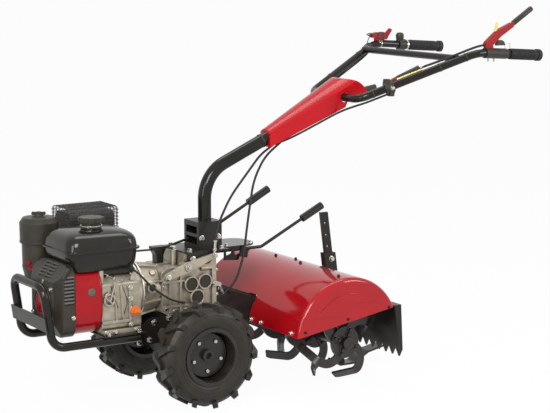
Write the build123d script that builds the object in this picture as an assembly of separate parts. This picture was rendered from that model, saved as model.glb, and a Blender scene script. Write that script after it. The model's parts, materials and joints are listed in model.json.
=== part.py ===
from build123d import *
import os
from math import atan2, cos, degrees, radians, sin, tan

# Walk-behind two-wheel tractor with a rear rotary tiller, as separate pieces in millimetres.
# Working axes: +X forward, +Y towards the left wheel, +Z up, X = 0 at the wheel axle and Z = 0 on
# the ground. On export everything moves along X, so that the origin is under the machine's middle.

# Wheels
TYRE_DIAMETER = 310.0           # over the lugs
TYRE_WIDTH = 92.0
LUG_HEIGHT = 10.0
LUG_COUNT = 13                  # on each half of the tread
LUG_WIDTH = 17.0
LUG_SLANT = -30.0               # how far the shoulder end trails the middle end
LUG_OVERLAP = 5.0               # past the middle line
TRACK = 408.0                   # between the wheels' middles
RIM_RADIUS = 76.0               # barrel, under the tyre's beads
RIM_LIP = 11.0                  # height of the lip over the barrel
RIM_WIDTH = 88.0
RIM_SHEET = 3.0
DISC_OFFSET = 4.0               # disc's inner face, outwards of the wheel's middle
WHEEL_BOLTS = 5
WHEEL_BOLT_CIRCLE = 95.0
WHEEL_BOLT_HOLE = 5.5           # radius
HUB_RADIUS = 18.0
HUB_BORE = 9.5                  # radius of the open outer end
HUB_END = 20.0                  # outwards of the wheel's middle
HUB_GAP = 7.0                   # between the hub and the axle tube
AXLE_RADIUS = 12.5
AXLE_END = -4.0                 # outer end, outwards of the wheel's middle
RUNNING_GAP = 0.05              # between a shaft and its bearing, all round

# Engine
ENGINE_BASE_Z = 225.0
CRANK_Z = 331.0
CASE_REAR_X = 152.0
CASE_FRONT_X = 280.0
CASE_NEAR_Y = 92.0
CASE_FAR_Y = -76.0
CASE_TOP = 73.0                 # above the crank
OIL_PLUG_AT = (176.0, 288.0)    # X and Z
BLOWER_SIZE = 210.0
BLOWER_CORNER = 78.0
BLOWER_DEPTH = 88.0
RECOIL_DEPTH = 56.0             # blower housing's front to the recoil cover's face
RECOIL_TOP = 109.0              # above the crank
RECOIL_SLOPE = (41.0, 49.0)     # forward and down, of the sloping top
RECOIL_CHAMFER = (20.0, 28.0)   # back and in, of the sides
LOUVER_PITCH = 10.5
LOUVER_SLOT = 4.6
CYLINDER_TILT = 25.0            # degrees above level
CYLINDER_REACH = 196.0          # crank to the head's outer face
FIN_PITCH = 11.0
TANK_LENGTH = 234.0
TANK_WIDTH = 211.0
TANK_MIDDLE = (268.0, 0.5)
TANK_BOTTOM_Z = 416.0
TANK_SEAM_Z = 474.0
TANK_SHOULDER_Z = 508.0
TANK_TOP_Z = 530.0
TANK_GAP = 1.0                  # over the blower housing and the cylinder
CAP_AT = (272.0, 15.0)
CAP_RADIUS = 38.0
CLEANER_AT = (355.0, -168.0)
CLEANER_RADIUS = 58.0
CLEANER_BASE_Z = 352.0
CLEANER_TOP_Z = 543.0
MUFFLER_SIZE = (148.0, 102.0, 70.0)
MUFFLER_MIDDLE = (192.0, -191.0, 513.0)
GUARD_GAP = 10.0                # between the muffler and its wire guard
GUARD_WIRE = 3.0
GUARD_PITCH = 19.0

# Bumper and engine bed
TUBE_RADIUS = 12.5
RAIL_Y = 105.0
BED_SHEET = 4.0
RAIL_REAR_X = 165.0
BUMPER_FOOT_X = 442.0
BUMPER_TOP = (468.0, 388.0)     # X and Z of the top bar
BUMPER_BENDS = (45.0, 38.0)     # at the foot and at the top
FRONT_PLATE_Z = (260.0, 302.0)
FRONT_PLATE_SHEET = 4.0
CHEEK_SHEET = 5.0

# Gearbox and final drive
GEARBOX_HALF_WIDTH = 76.0
GEARBOX_FRONT_X = 70.0
GEARBOX_REAR_X = -112.0
GEARBOX_BOTTOM_Z = 252.0
GEARBOX_TOP_Z = 395.0
SADDLE_SEAT_Z = 432.0
BELL_FLANGE = 87.0              # radius
FINAL_HALF_WIDTH = 60.0
FINAL_RADIUS = 50.0
AXLE_TUBE_RADIUS = 24.0
AXLE_TUBE_END = 165.0
PLUG_RADIUS = 20.0
PLUG_WALL = 3.5
PLUG_AT = ((-25.0, 341.0), (-71.0, 345.0), (-44.0, 300.0))
CLUTCH_PIVOT = (-6.0, 396.0)    # X and Z
CLUTCH_ARM_EYE = (64.0, 373.0)
CLUTCH_ARM_TIP = (-97.0, 424.0)

# Handle
SADDLE_SHEET = 5.0
SOCKET_LENGTH = 80.0
SOCKET_FRONT = 46.0             # ahead of the column's middle
SOCKET_HALF_WIDTH = 45.0
SOCKET_HEIGHT = 81.0
SOCKET_SHEET = 4.0
COLUMN_RADIUS = 20.5
COLUMN_X = -116.0
COLUMN_BEND_Z = 656.0
COLUMN_BEND = 115.0
COLUMN_SLOPE = 23.7             # degrees
COLUMN_END_X = -605.0
BAR_RADIUS = 12.5
BAR_CROSS = (17.0, 133.0)       # ahead of the column's end, and the half width of the level run across it
BAR_RISE = 6.0                  # of that run above the column's middle line
BAR_BEND = (-938.0, 277.0, 1009.0)
BAR_END = (-1197.0, 257.0, 991.0)
BAR_BENDS = (50.0, 110.0)
BRACE_RADIUS = 11.0
GRIP_RADIUS = 16.5
GRIP_LENGTH = 126.0
COVER_FRONT_X = -333.0
COVER_REAR_X = -667.0
COVER_FRONT = (29.0, 19.0, 30.0)    # half width, then ridge and crown above the column's middle line
COVER_REAR = (71.0, 43.0, 73.0)
COVER_LOW = -25.0
COVER_WALL = 3.0
LEVER_ROD = 5.0                 # radius
LEVER_GRIP = (12.0, 76.0)       # radius and length
LOCK_GRIP = 9.0                 # radius
GEAR_LEVER = ((-100.0, -30.0, 452.0), (-356.0, -30.0, 586.0))
TILLER_LEVER = ((20.0, 419.0), (-305.0, 419.0), (-523.0, 527.0))    # Y and Z, then X and Z

# Tiller
ROTOR_X = -478.0
ROTOR_Z = 136.0
TINE_RADIUS = 130.0
ROTOR_HALF_LENGTH = 250.0
ROTOR_SHAFT_RADIUS = 17.0
TINE_FLANGE_RADIUS = 50.0
TINE_FLANGE_Y = (66.0, 226.0)
TINES_PER_FLANGE = 4
TINE_THICK = 7.0
TINE_WIDTH = 27.0
TINE_BENDS = (48.0, 22.0)       # of the sickle and of the blade turned sideways
TINE_SWEEP = (84.0, 66.0)       # middle of the sickle: outwards and behind its root
TINE_BLADE = (58.0, 68.0, 106.0)    # tip: outwards, sideways and behind the root
TINE_PHASE = (33.0, 66.0)       # degrees, inner and outer flange
ARM_HALF_WIDTH = 19.0
ARM_FRONT = (-124.0, 287.0)     # X and Z of its round front end
ARM_RADII = (34.0, 48.0)
ARM_RIB = 5.0                   # height of the joint's rib
ARM_FLANGE = (62.0, 254.0, 322.0)   # half width, low and high
HOOD_CENTRE = (-444.0, 168.0)
HOOD_RADIUS = 185.0
HOOD_HALF_WIDTH = 304.0
HOOD_SHEET = 2.5
HOOD_EDGE = 14.0                # round between the barrel and the end plates
HOOD_FRONT_ANGLE = 6.0          # degrees above level, seen from the hood's centre
HOOD_REAR_ANGLE = 155.0
HOOD_PANEL = (138.0, 2.0)       # radius and height of the raised field on the end plates
HOOD_SLOT_GAP = 3.0             # round the drive arm
FLAP_SHELF = 23.0               # level part behind the hood's rear edge
FLAP_DROP = (9.0, 164.0)        # rearwards and down, of the plate below it
FLAP_SHEET = 3.0
FLAP_TOOTH = (35.0, 24.0)       # pitch and depth
DEPTH_BAR_SIZE = (28.0, 10.0)
DEPTH_BAR_TOP_Z = 503.0
DEPTH_ANGLE = 136.0             # where the bar crosses the hood, seen from its centre
DEPTH_LEAN = 7.8                # degrees
DEPTH_SLEEVE = (7.0, 372.0)     # wall and top
DEPTH_HOLE_RADIUS = 4.5
DEPTH_HOLE_TOP = 35.0           # first hole, below the bar's top
DEPTH_HOLE_PITCH = 38.0
SKID_THICK = 6.0
SKID_HALF_WIDTH = 24.0

WHEEL_RADIUS = TYRE_DIAMETER / 2
RAIL_Z = ENGINE_BASE_Z - BED_SHEET - TUBE_RADIUS
BLOWER_FRONT_X = CASE_FRONT_X + BLOWER_DEPTH
HOOD_INNER = HOOD_RADIUS - HOOD_SHEET
SADDLE_TOP_Z = SADDLE_SEAT_Z + SADDLE_SHEET
SOCKET_X = (COLUMN_X + SOCKET_FRONT - SOCKET_LENGTH, COLUMN_X + SOCKET_FRONT)
SOCKET_TOP_Z = SADDLE_TOP_Z + SOCKET_HEIGHT


def rod(start, end, radius):
    """Round bar between two points."""
    run = Vector(*end) - Vector(*start)
    return extrude(Plane(origin=start, z_dir=run) * Circle(radius), run.length)


def bent_rod(points, bends, radius):
    """Round bar along a line of points whose inner corners are bent."""
    path = FilletPolyline(*points, radius=bends)
    return sweep(Plane(origin=path @ 0, z_dir=path % 0) * Circle(radius), path=path)


def soft_cord(points, radius):
    """Round cord past a line of points, with every bend as wide as its two runs allow."""
    at = [Vector(*point) for point in points]
    runs = [b - a for a, b in zip(at, at[1:])]
    corners = zip(runs, runs[1:])
    bends = [0.45 * min(a.length, b.length) / tan(radians(a.get_angle(b) / 2)) for a, b in corners]
    return bent_rod(points, bends, radius)


def outline(*points):
    return make_face(Polyline(*points, close=True))


def round_at(x, z, radius):
    return Pos(x, z) * Circle(radius)


def hull_of(*faces):
    """Face stretched tight round some others."""
    return make_hull([edge for face in faces for edge in face.edges()])


def along_y(face, low, high):
    """Solid from a face drawn in X and Z, between two values of Y."""
    return extrude(Plane.XZ.offset(-low) * face, low - high)


def along_x(face, low, high):
    """Solid from a face drawn in Y and Z, between two values of X."""
    return extrude(Plane.YZ.offset(low) * face, high - low)


def along_z(face, low, high):
    """Solid from a face drawn in X and Y, between two heights."""
    return extrude(Plane.XY.offset(low) * face, high - low)


def block(x, y, z):
    """Box from pairs of lower and upper values."""
    middle = Pos(sum(x) / 2, sum(y) / 2, sum(z) / 2)
    return middle * Box(x[1] - x[0], y[1] - y[0], z[1] - z[0])


def disc_y(x, z, radius, low, high):
    """Round disc with its axis along Y."""
    return rod((x, low, z), (x, high, z), radius)


def turned_y(points):
    """Ring turned about the Y axis from points of radius and Y."""
    return revolve(outline(*points), Axis.Y)


def turned_x(points, z):
    """Ring turned about a line along X at height z, from points of X and radius."""
    return Pos(0, 0, z) * revolve(outline(*points), Axis.X)


def turned_z(points, x, y):
    """Ring turned about an upright line, from points of radius and Z."""
    return Pos(x, y, 0) * revolve(Plane.XZ * outline(*points), Axis.Z)


def mirrored(shape):
    return mirror(shape, about=Plane.XZ)


def both_sides(shape):
    return shape + mirrored(shape)


def largest(shape):
    return shape.solids().sort_by(SortBy.VOLUME)[-1]


# Wheels, all drawn for the left side

def on_wheel(shape):
    return Pos(0, TRACK / 2, WHEEL_RADIUS) * shape


def tyre_section(crown, drop, inset):
    """Section in radius and Y: beads, round side walls, shoulders and a flat tread out to the crown."""
    half, seat = TYRE_WIDTH / 2, RIM_WIDTH / 2 - RIM_SHEET
    bead = RIM_RADIUS + RIM_LIP + 1
    shoulder = (crown - drop, half - inset)
    wall = ((bead + shoulder[0]) / 2, half)
    flat = shoulder[1] - drop

    def flip(point):
        return (point[0], -point[1])

    return make_face([
        Line((RIM_RADIUS, -seat), (RIM_RADIUS, seat)), Line((RIM_RADIUS, seat), (bead, seat)),
        ThreePointArc((bead, seat), wall, shoulder), Line(shoulder, (crown, flat)),
        Line((crown, flat), (crown, -flat)), Line((crown, -flat), flip(shoulder)),
        ThreePointArc(flip(shoulder), flip(wall), (bead, -seat)), Line((bead, -seat), (RIM_RADIUS, -seat)),
    ])


def tyre():
    carcass = revolve(tyre_section(WHEEL_RADIUS - LUG_HEIGHT, 9, 7), Axis.Y)
    reach = revolve(tyre_section(WHEEL_RADIUS, 5, 1), Axis.Y)
    half, w = TYRE_WIDTH / 2, LUG_WIDTH / 2
    plan = outline((-w, -LUG_OVERLAP), (w, -LUG_OVERLAP), (LUG_SLANT + w, half), (LUG_SLANT - w, half))
    lug = along_z(plan, WHEEL_RADIUS - 2.4 * LUG_HEIGHT, WHEEL_RADIUS + LUG_HEIGHT) & reach
    step = 360 / LUG_COUNT
    lugs = [Rot(0, step * turn, 0) * lug for turn in range(LUG_COUNT)]
    lugs += [Rot(0, step * (turn + 0.5), 0) * mirrored(lug) for turn in range(LUG_COUNT)]
    return on_wheel(carcass + lugs)


def rim():
    edge, inner = RIM_WIDTH / 2, RIM_RADIUS - RIM_SHEET
    lip, low, high = RIM_RADIUS + RIM_LIP, DISC_OFFSET, DISC_OFFSET + RIM_SHEET
    sheet = turned_y([
        (lip, -edge), (lip, RIM_SHEET - edge), (RIM_RADIUS, RIM_SHEET - edge),
        (RIM_RADIUS, edge - RIM_SHEET), (lip, edge - RIM_SHEET), (lip, edge), (inner + 3, edge),
        (inner, edge - 6), (inner, high - 10), (inner - 8, high), (HUB_RADIUS, high), (HUB_RADIUS, low),
        (inner - 9, low), (inner, low - 10), (inner, 6 - edge), (inner + 3, -edge),
    ])
    for turn in range(WHEEL_BOLTS):
        angle = radians(360 * turn / WHEEL_BOLTS - 90)
        x, z = WHEEL_BOLT_CIRCLE / 2 * cos(angle), WHEEL_BOLT_CIRCLE / 2 * sin(angle)
        sheet -= disc_y(x, z, WHEEL_BOLT_HOLE, low - 5, high + 5)
    return on_wheel(sheet)


def hub():
    low, flange = AXLE_TUBE_END + HUB_GAP - TRACK / 2, DISC_OFFSET - 6
    ring = turned_y([
        (AXLE_RADIUS, low), (HUB_RADIUS, low), (HUB_RADIUS, flange), (34, flange), (34, DISC_OFFSET),
        (HUB_RADIUS, DISC_OFFSET), (HUB_RADIUS, HUB_END), (HUB_BORE, HUB_END), (HUB_BORE, AXLE_END),
        (AXLE_RADIUS, AXLE_END),
    ])
    return on_wheel(ring)


def axle():
    return disc_y(0, WHEEL_RADIUS, AXLE_RADIUS, FINAL_HALF_WIDTH + 2, TRACK / 2 + AXLE_END)


# Engine

def crankcase():
    low, top = ENGINE_BASE_Z + 12, CRANK_Z + CASE_TOP
    body = along_x(fillet(outline(
        (CASE_FAR_Y, low), (CASE_NEAR_Y, low), (CASE_NEAR_Y, top - 32), (CASE_NEAR_Y - 30, top),
        (CASE_FAR_Y + 28, top), (CASE_FAR_Y, top - 28)).vertices(), 10), CASE_REAR_X, CASE_FRONT_X)
    foot = block((CASE_REAR_X + 6, CASE_FRONT_X - 4), (CASE_FAR_Y - 14, CASE_NEAR_Y + 8),
                 (ENGINE_BASE_Z, low + 2))
    joint_x = CASE_REAR_X + 34
    rim_of_cover = block((joint_x, joint_x + 7), (CASE_FAR_Y - 4, CASE_NEAR_Y + 5), (low, top - 38))
    near = CASE_NEAR_Y
    ledge = block((CASE_REAR_X + 42, CASE_FRONT_X), (near - 4, near + 6), (low + 20, low + 28))
    ribs = [along_y(outline((x, low + 26), (x + 5, low + 26), (x + 11, top - 40), (x + 6, top - 40)),
                    near - 4, near + 4) for x in (CASE_REAR_X + 58, CASE_REAR_X + 78)]
    heights = (low + 12, CRANK_Z - 6, CRANK_Z + 27)
    bosses = [disc_y(joint_x + 3.5, z, 8, near - 20, near + 9) for z in heights]
    window = (CASE_FRONT_X - 24, CRANK_Z - 4)
    eye = disc_y(*window, 19, near - 10, near + 6)
    filler = disc_y(*OIL_PLUG_AT, 16, near - 30, near + 6)
    whole = body + foot + rim_of_cover + ledge + ribs + bosses + eye + filler
    return whole - disc_y(*window, 14, near - 6, near + 20)


def oil_plug():
    x, z = OIL_PLUG_AT
    low = CASE_NEAR_Y + 6
    return disc_y(x, z, 15, low, low + 6) + block((x - 12, x + 12), (low + 6, low + 17), (z - 4, z + 4))


def tilted(shape):
    """From a cylinder that lies level towards -Y to the engine's own tilt about the crank."""
    return Pos(0, 0, CRANK_Z) * Rot(-CYLINDER_TILT, 0, 0) * shape


def across(half):
    """Limits in X of a part of the cylinder, about its middle."""
    middle = (CASE_REAR_X + CASE_FRONT_X) / 2 + 5
    return (middle - half, middle + half)


def cylinder_room(gap):
    """Room that the fins and the head take up, larger all round by a gap."""
    return tilted(block(across(54 + gap), (-CYLINDER_REACH - gap, CASE_FAR_Y), (-52 - gap, 52 + gap)))


def cylinder():
    end = -CYLINDER_REACH
    barrel = block(across(43), (end + 26, CASE_FAR_Y + 16), (-40, 40))
    rows = [end + 30 + FIN_PITCH * n for n in range(7)]
    fins = [block(across(52), (row, row + 3), (-50, 50)) for row in rows]
    head = block(across(54), (end, end + 28), (-52, 52))
    rocker = fillet(block(across(43), (end - 26, end), (-36, 42)).edges().filter_by(Axis.Y), 12)
    whole = tilted(barrel + fins + head + rocker)
    inward = block((CASE_REAR_X, CASE_FRONT_X), (CASE_FAR_Y, CASE_NEAR_Y), (ENGINE_BASE_Z, TANK_SEAM_Z))
    return whole - inward - crankcase()


def blower_section(grow):
    size = BLOWER_SIZE + 2 * grow
    return Pos(0, CRANK_Z) * RectangleRounded(size, size, BLOWER_CORNER + grow)


def blower_housing():
    drum = along_x(blower_section(0), CASE_FRONT_X, BLOWER_FRONT_X)
    return fillet(drum.edges().group_by(Axis.X)[0], 8)


def recoil_cover():
    """Moulded cover: sloping top and chamfered sides with louvers, and a round boss in front."""
    x, half = BLOWER_FRONT_X, BLOWER_SIZE / 2 - 2
    face, low, top = x + RECOIL_DEPTH, CRANK_Z - half, CRANK_Z + RECOIL_TOP
    (ahead, drop), (back, inset) = RECOIL_SLOPE, RECOIL_CHAMFER
    side = outline((x, low), (face - back, low), (face, low + inset + 12), (face, top - drop),
                   (face - ahead, top), (x, top))
    plan = outline((x, -half), (face - back, -half), (face, inset - half), (face, half - inset),
                   (face - back, half), (x, half))
    front = Pos(0, (low + top) / 2) * RectangleRounded(2 * half, top - low, 40)
    side = fillet(side.vertices().sort_by(Axis.X)[2:], 9)
    plan = fillet(plan.vertices().sort_by(Axis.X)[2:], 9)
    cover = along_x(front, x, face) & along_y(side, -half, half) & along_z(plan, low, top)
    cover += turned_x([(face - 4, 0), (face - 4, 58), (face + 8, 52), (face + 8, 40), (face + 4, 36),
                       (face + 4, 0)], CRANK_Z - 8)
    slope = Plane(origin=(face - ahead / 2, 0, top - drop / 2), x_dir=(0, 1, 0), z_dir=(drop, 0, ahead))
    for row in range(5):
        for column in (-21, 21):
            cover -= slope * Pos(column, (row - 2) * LOUVER_PITCH) * Box(34, LOUVER_SLOT, 7)
    for row in range(8):
        z = CRANK_Z + LOUVER_PITCH * (row - 0.3)
        cover -= block((x + 4, face - back - 2), (half - 4, half + 1), (z, z + LOUVER_SLOT))
    return cover


def fuel_tank():
    def plan(grow, corner):
        return Pos(*TANK_MIDDLE) * RectangleRounded(TANK_LENGTH + 2 * grow, TANK_WIDTH + 2 * grow, corner)

    def at(z, grow, corner):
        return Plane.XY.offset(z) * plan(grow, corner)

    upper = loft([at(TANK_SEAM_Z, -3, 34), at(TANK_SHOULDER_Z, -6, 34)], ruled=True)
    upper += loft([at(TANK_SHOULDER_Z, -6, 34), at(TANK_TOP_Z, -40, 30)], ruled=True)
    upper = fillet(upper.edges().group_by(Axis.Z)[-1], 16)
    lower = loft([at(TANK_BOTTOM_Z, -14, 24), at(TANK_SEAM_Z, -4, 33)])
    lip = along_z(plan(2, 38), TANK_SEAM_Z - 3, TANK_SEAM_Z + 3)
    neck = Pos(*CAP_AT, TANK_TOP_Z - 4) * Cylinder(30, 14, align=(Align.CENTER, Align.CENTER, Align.MIN))
    clear = along_x(blower_section(TANK_GAP), CASE_FRONT_X - 20, BLOWER_FRONT_X + 40)
    half, gap = BLOWER_SIZE / 2, TANK_GAP
    clear += block((BLOWER_FRONT_X - gap, BLOWER_FRONT_X + 60), (-half - gap, half + gap),
                   (CRANK_Z, CRANK_Z + RECOIL_TOP + gap))
    return upper + lower + lip + neck - clear - cylinder_room(gap)


def fuel_cap():
    """Fluted knob over the tank's neck."""
    low = TANK_TOP_Z + 10
    scallops = [Rot(0, 0, 45 * n) * Pos(CAP_RADIUS + 5, 0) * Circle(9) for n in range(8)]
    knob = along_z(Circle(CAP_RADIUS) - scallops, 8, 22)
    knob = chamfer(knob.edges().group_by(Axis.Z)[-1], 2)
    return Pos(*CAP_AT, low) * (knob + along_z(Circle(CAP_RADIUS - 9), 0, 9))


def air_cleaner():
    r, low, top = CLEANER_RADIUS, CLEANER_BASE_Z, CLEANER_TOP_Z
    return turned_z([
        (0, low), (r - 16, low), (r - 7, low + 40), (r - 6, top - 72), (r - 1, top - 68), (r, top - 14),
        (r - 10, top), (12, top + 4), (12, top + 14), (0, top + 14)], *CLEANER_AT)


def intake():
    """Carburettor and elbow between the cylinder head and the air cleaner."""
    x, y = CLEANER_AT
    z = CLEANER_BASE_Z
    body = block((CASE_FRONT_X - 5, x), (y - 24, y + 24), (z + 20, z + 60))
    neck = block((CASE_FRONT_X - 14, CASE_FRONT_X + 4), (y - 16, y + 20), (z + 48, z + 80))
    return body + neck - cylinder() - air_cleaner()


def centred(size, grow=0.0):
    return [(-s / 2 - grow, s / 2 + grow) for s in size]


def muffler():
    body = fillet(block(*centred(MUFFLER_SIZE)).edges().filter_by(Axis.X), 22)
    low = -MUFFLER_SIZE[2] / 2
    pipe = block((6, 42), (-17, 15), (low - 40, low + 10))
    return Pos(*MUFFLER_MIDDLE) * (body + pipe) - cylinder()


def muffler_guard():
    """Wire basket over the muffler, open below, as bars round rows of square gaps."""
    x, y, z = centred(MUFFLER_SIZE, GUARD_GAP)
    w = GUARD_WIRE
    z = (z[0] + 4, z[1] + 4)
    basket = block(x, y, z) - block((x[0] + w, x[1] - w), (y[0] + w, y[1] - w), (z[0] - 1, z[1] - w))

    def gaps(low, high):
        """Pairs of limits for the open squares between wires."""
        count = max(1, round((high - low - w) / GUARD_PITCH))
        pitch = (high - low - w) / count
        return [(low + w + pitch * n, low + pitch * (n + 1)) for n in range(count)]

    rows = [(gx, gy, (0, z[1] + 1)) for gx in gaps(*x) for gy in gaps(*y)]
    rows += [(gx, (y[0] - 1, y[1] + 1), gz) for gx in gaps(*x) for gz in gaps(*z)]
    rows += [((x[0] - 1, x[1] + 1), gy, gz) for gy in gaps(*y) for gz in gaps(*z)]
    basket -= [block(*row) for row in rows]
    tab = block((x[0] + w - 0.5, x[0] + GUARD_GAP), (-8, 8), (-6, 6))
    return Pos(*MUFFLER_MIDDLE) * (basket + tab)


# Bumper, bed and drive

def bumper_frame():
    x, z = BUMPER_TOP
    half = [(RAIL_REAR_X, RAIL_Y, RAIL_Z), (BUMPER_FOOT_X, RAIL_Y, RAIL_Z), (x, RAIL_Y, z)]
    points = half + [(px, -py, pz) for px, py, pz in reversed(half)]
    foot, top = BUMPER_BENDS
    return bent_rod(points, [foot, top, top, foot], TUBE_RADIUS)


def riser_x(z):
    """X of the bumper's leaning legs at a height."""
    (x, top) = BUMPER_TOP
    return BUMPER_FOOT_X + (x - BUMPER_FOOT_X) * (z - RAIL_Z) / (top - RAIL_Z)


def bumper_plate():
    low, high = FRONT_PLATE_Z
    back, face = TUBE_RADIUS, TUBE_RADIUS + FRONT_PLATE_SHEET
    side = outline((riser_x(low) + back, low), (riser_x(low) + face, low), (riser_x(high) + face, high),
                   (riser_x(high) + back, high))
    return along_y(side, -RAIL_Y - TUBE_RADIUS, RAIL_Y + TUBE_RADIUS) - bumper_frame()


def engine_bed():
    low, wide = ENGINE_BASE_Z - BED_SHEET, RAIL_Y + TUBE_RADIUS
    plate = block((CASE_REAR_X - 4, CASE_FRONT_X + 4), (-wide, wide), (low, ENGINE_BASE_Z))
    x = CASE_REAR_X
    side = outline((x + 44, low), (x + 44, low - 15), (x, low - 49), (x - 122, low - 49),
                   (x - 122, low + 23), (x - 92, low + 29), (x - 42, low + 29), (x - 12, ENGINE_BASE_Z),
                   (x - 4, low))
    cheek = along_y(side, FINAL_HALF_WIDTH, FINAL_HALF_WIDTH + CHEEK_SHEET)
    cross = block((CASE_REAR_X - 6, CASE_REAR_X), (-FINAL_HALF_WIDTH, FINAL_HALF_WIDTH), (low - 45, low))
    return plate + both_sides(cheek) + cross


def bell_housing():
    rear, flange = GEARBOX_FRONT_X, CASE_REAR_X - 14
    bell = turned_x([(rear, 0), (rear, 66), (flange, BELL_FLANGE - 9), (flange, BELL_FLANGE),
                     (CASE_REAR_X, BELL_FLANGE), (CASE_REAR_X, 0)], CRANK_Z)
    rib = outline((rear, 60), (rear, 74), (flange + 2, BELL_FLANGE - 2), (flange + 2, 60))
    upright = extrude(Plane.XY * rib, 3, both=True)
    ribs = [Pos(0, 0, CRANK_Z) * Rot(45 * n + 22.5, 0, 0) * upright for n in range(8)]
    plug_x = (rear + flange) / 2 + 6
    boss = disc_y(plug_x, CRANK_Z + 14, 15, 40, 86) - disc_y(plug_x, CRANK_Z + 14, 11, 78, 90)
    return bell + ribs + boss


def gearbox_case():
    half = GEARBOX_HALF_WIDTH
    low, top = GEARBOX_BOTTOM_Z, GEARBOX_TOP_Z
    side = outline((GEARBOX_FRONT_X, low + 14), (GEARBOX_FRONT_X, top - 13), (GEARBOX_FRONT_X - 18, top),
                   (-2, top), (-8, SADDLE_SEAT_Z), (GEARBOX_REAR_X, SADDLE_SEAT_Z), (GEARBOX_REAR_X, low),
                   (GEARBOX_FRONT_X - 20, low))
    body = along_y(side, 10 - half, half - 8)
    body = fillet(body.edges().filter_by(Axis.Y).sort_by(Axis.X)[-4:], 8)
    joint = along_y(side, -4, 4)
    joint = offset(joint, amount=3, kind=Kind.INTERSECTION) & block(
        (GEARBOX_REAR_X, GEARBOX_FRONT_X), (-7, 7), (low, SADDLE_SEAT_Z))
    flange = block((GEARBOX_REAR_X, GEARBOX_REAR_X + 14), (-half, half), (low, SADDLE_SEAT_Z))
    shoulder = block((GEARBOX_REAR_X, -10), (-half, half), (SADDLE_SEAT_Z - 44, SADDLE_SEAT_Z))
    depth = (half - 10, half - 2)
    webs = [block((-20, GEARBOX_FRONT_X), depth, (z - 3, z + 3)) for z in (low + 26, CRANK_Z + 22)]
    webs += [block((x - 3, x + 3), depth, (low + 8, top - 20)) for x in (8, 44)]
    whole = body + joint + flange + shoulder + webs
    for x, z in PLUG_AT:
        whole += disc_y(x, z, PLUG_RADIUS + PLUG_WALL, half - 20, half + 6)
    for x, z in PLUG_AT:
        whole -= disc_y(x, z, PLUG_RADIUS, half - 6, half + 10)
    whole += disc_y(*CLUTCH_PIVOT, 13, half - 20, half + 10)
    breather = Pos(6, 22, top - 2) * Cylinder(9, 46, align=(Align.CENTER, Align.CENTER, Align.MIN))
    return whole + breather


def gearbox_plugs():
    half = GEARBOX_HALF_WIDTH
    return [disc_y(x, z, PLUG_RADIUS, half - 6, half + 2) for x, z in PLUG_AT]


def clutch_arm():
    """Cast lever on the near side of the gearbox, from its eye up to the cable's end."""
    low = GEARBOX_HALF_WIDTH + 10
    eye, tip = round_at(*CLUTCH_ARM_EYE, 10), round_at(*CLUTCH_ARM_TIP, 7)
    pivot = round_at(*CLUTCH_PIVOT, 15)
    arm = along_y(hull_of(eye, pivot), low, low + 10) + along_y(hull_of(pivot, tip), low, low + 10)
    return arm + disc_y(*CLUTCH_PIVOT, 12, low, low + 15) + disc_y(*CLUTCH_ARM_EYE, 7, low, low + 14)


def final_drive_case():
    top, half = GEARBOX_BOTTOM_Z, FINAL_HALF_WIDTH
    side = hull_of(round_at(0, WHEEL_RADIUS, FINAL_RADIUS),
                   outline((-62, top - 12), (58, top - 12), (58, top), (-62, top)))
    body = along_y(side, -half, half)
    cap = disc_y(0, WHEEL_RADIUS, 40, half, half + 8)
    cap -= block((28, 70), (half - 1, half + 20), (WHEEL_RADIUS, top))
    tube = disc_y(0, WHEEL_RADIUS, AXLE_TUBE_RADIUS, 0, AXLE_TUBE_END)
    bore = disc_y(0, WHEEL_RADIUS, AXLE_RADIUS + RUNNING_GAP, half - 20, AXLE_TUBE_END + 1)
    return body + both_sides(cap + tube) - bore - mirrored(bore)


# Handle

def handle_saddle():
    """Bent plate over the gearbox's rear, with side cheeks and a rear leg."""
    low, high, half = SADDLE_SEAT_Z, SADDLE_TOP_Z, GEARBOX_HALF_WIDTH
    top = block((SOCKET_X[0] - 4, -10), (-half - 4, half + 4), (low, high))
    side = outline((-10, high), (-10, low - 20), (-30, low - 34), (-84, low - 34),
                   (GEARBOX_REAR_X, low - 12), (GEARBOX_REAR_X, high))
    rear = block((GEARBOX_REAR_X - 5, GEARBOX_REAR_X), (-58, 58), (ARM_FLANGE[2] + 4, high))
    return top + both_sides(along_y(side, half, half + 4)) + rear


def column_z(x):
    """Height of the sloping part of the column's middle line at x."""
    return COLUMN_BEND_Z + (COLUMN_X - x) * tan(radians(COLUMN_SLOPE))


def on_column(x, y=0.0, rise=0.0):
    return (x, y, column_z(x) + rise)


def handle_socket():
    """Sheet box round the column's foot, with two windows in its front and the gear lever's slot behind."""
    low, top, t = SADDLE_TOP_Z, SOCKET_TOP_Z, SOCKET_SHEET
    (rear, front), half = SOCKET_X, SOCKET_HALF_WIDTH
    box = block((rear, front), (-half, half), (low, top))
    box -= block((rear + t, front - t), (t - half, half - t), (low - 1, top - t))
    for z in (low + 12, low + 44):
        box -= block((front - 10, front + 1), (12 - half, half - 12), (z, z + 22))
    box -= Pos(COLUMN_X, 0, top) * Cylinder(COLUMN_RADIUS + 0.1, 40)
    return box - rod(*GEAR_LEVER, LEVER_ROD + 4)


def handle_column():
    points = [(COLUMN_X, 0, SADDLE_TOP_Z), (COLUMN_X, 0, COLUMN_BEND_Z), on_column(COLUMN_END_X)]
    return bent_rod(points, [COLUMN_BEND], COLUMN_RADIUS)


def bar_points():
    """Middle line of the left handlebar, from inside the column's end to its free end."""
    (ahead, wide), rise = BAR_CROSS, BAR_RISE
    x = COLUMN_END_X + ahead
    return [on_column(x, COLUMN_RADIUS / 3, rise), on_column(x, wide, rise), BAR_BEND, BAR_END]


def bar_like(radius):
    return bent_rod(bar_points(), BAR_BENDS, radius)


def handlebar():
    return largest(bar_like(BAR_RADIUS) - handle_column())


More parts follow.
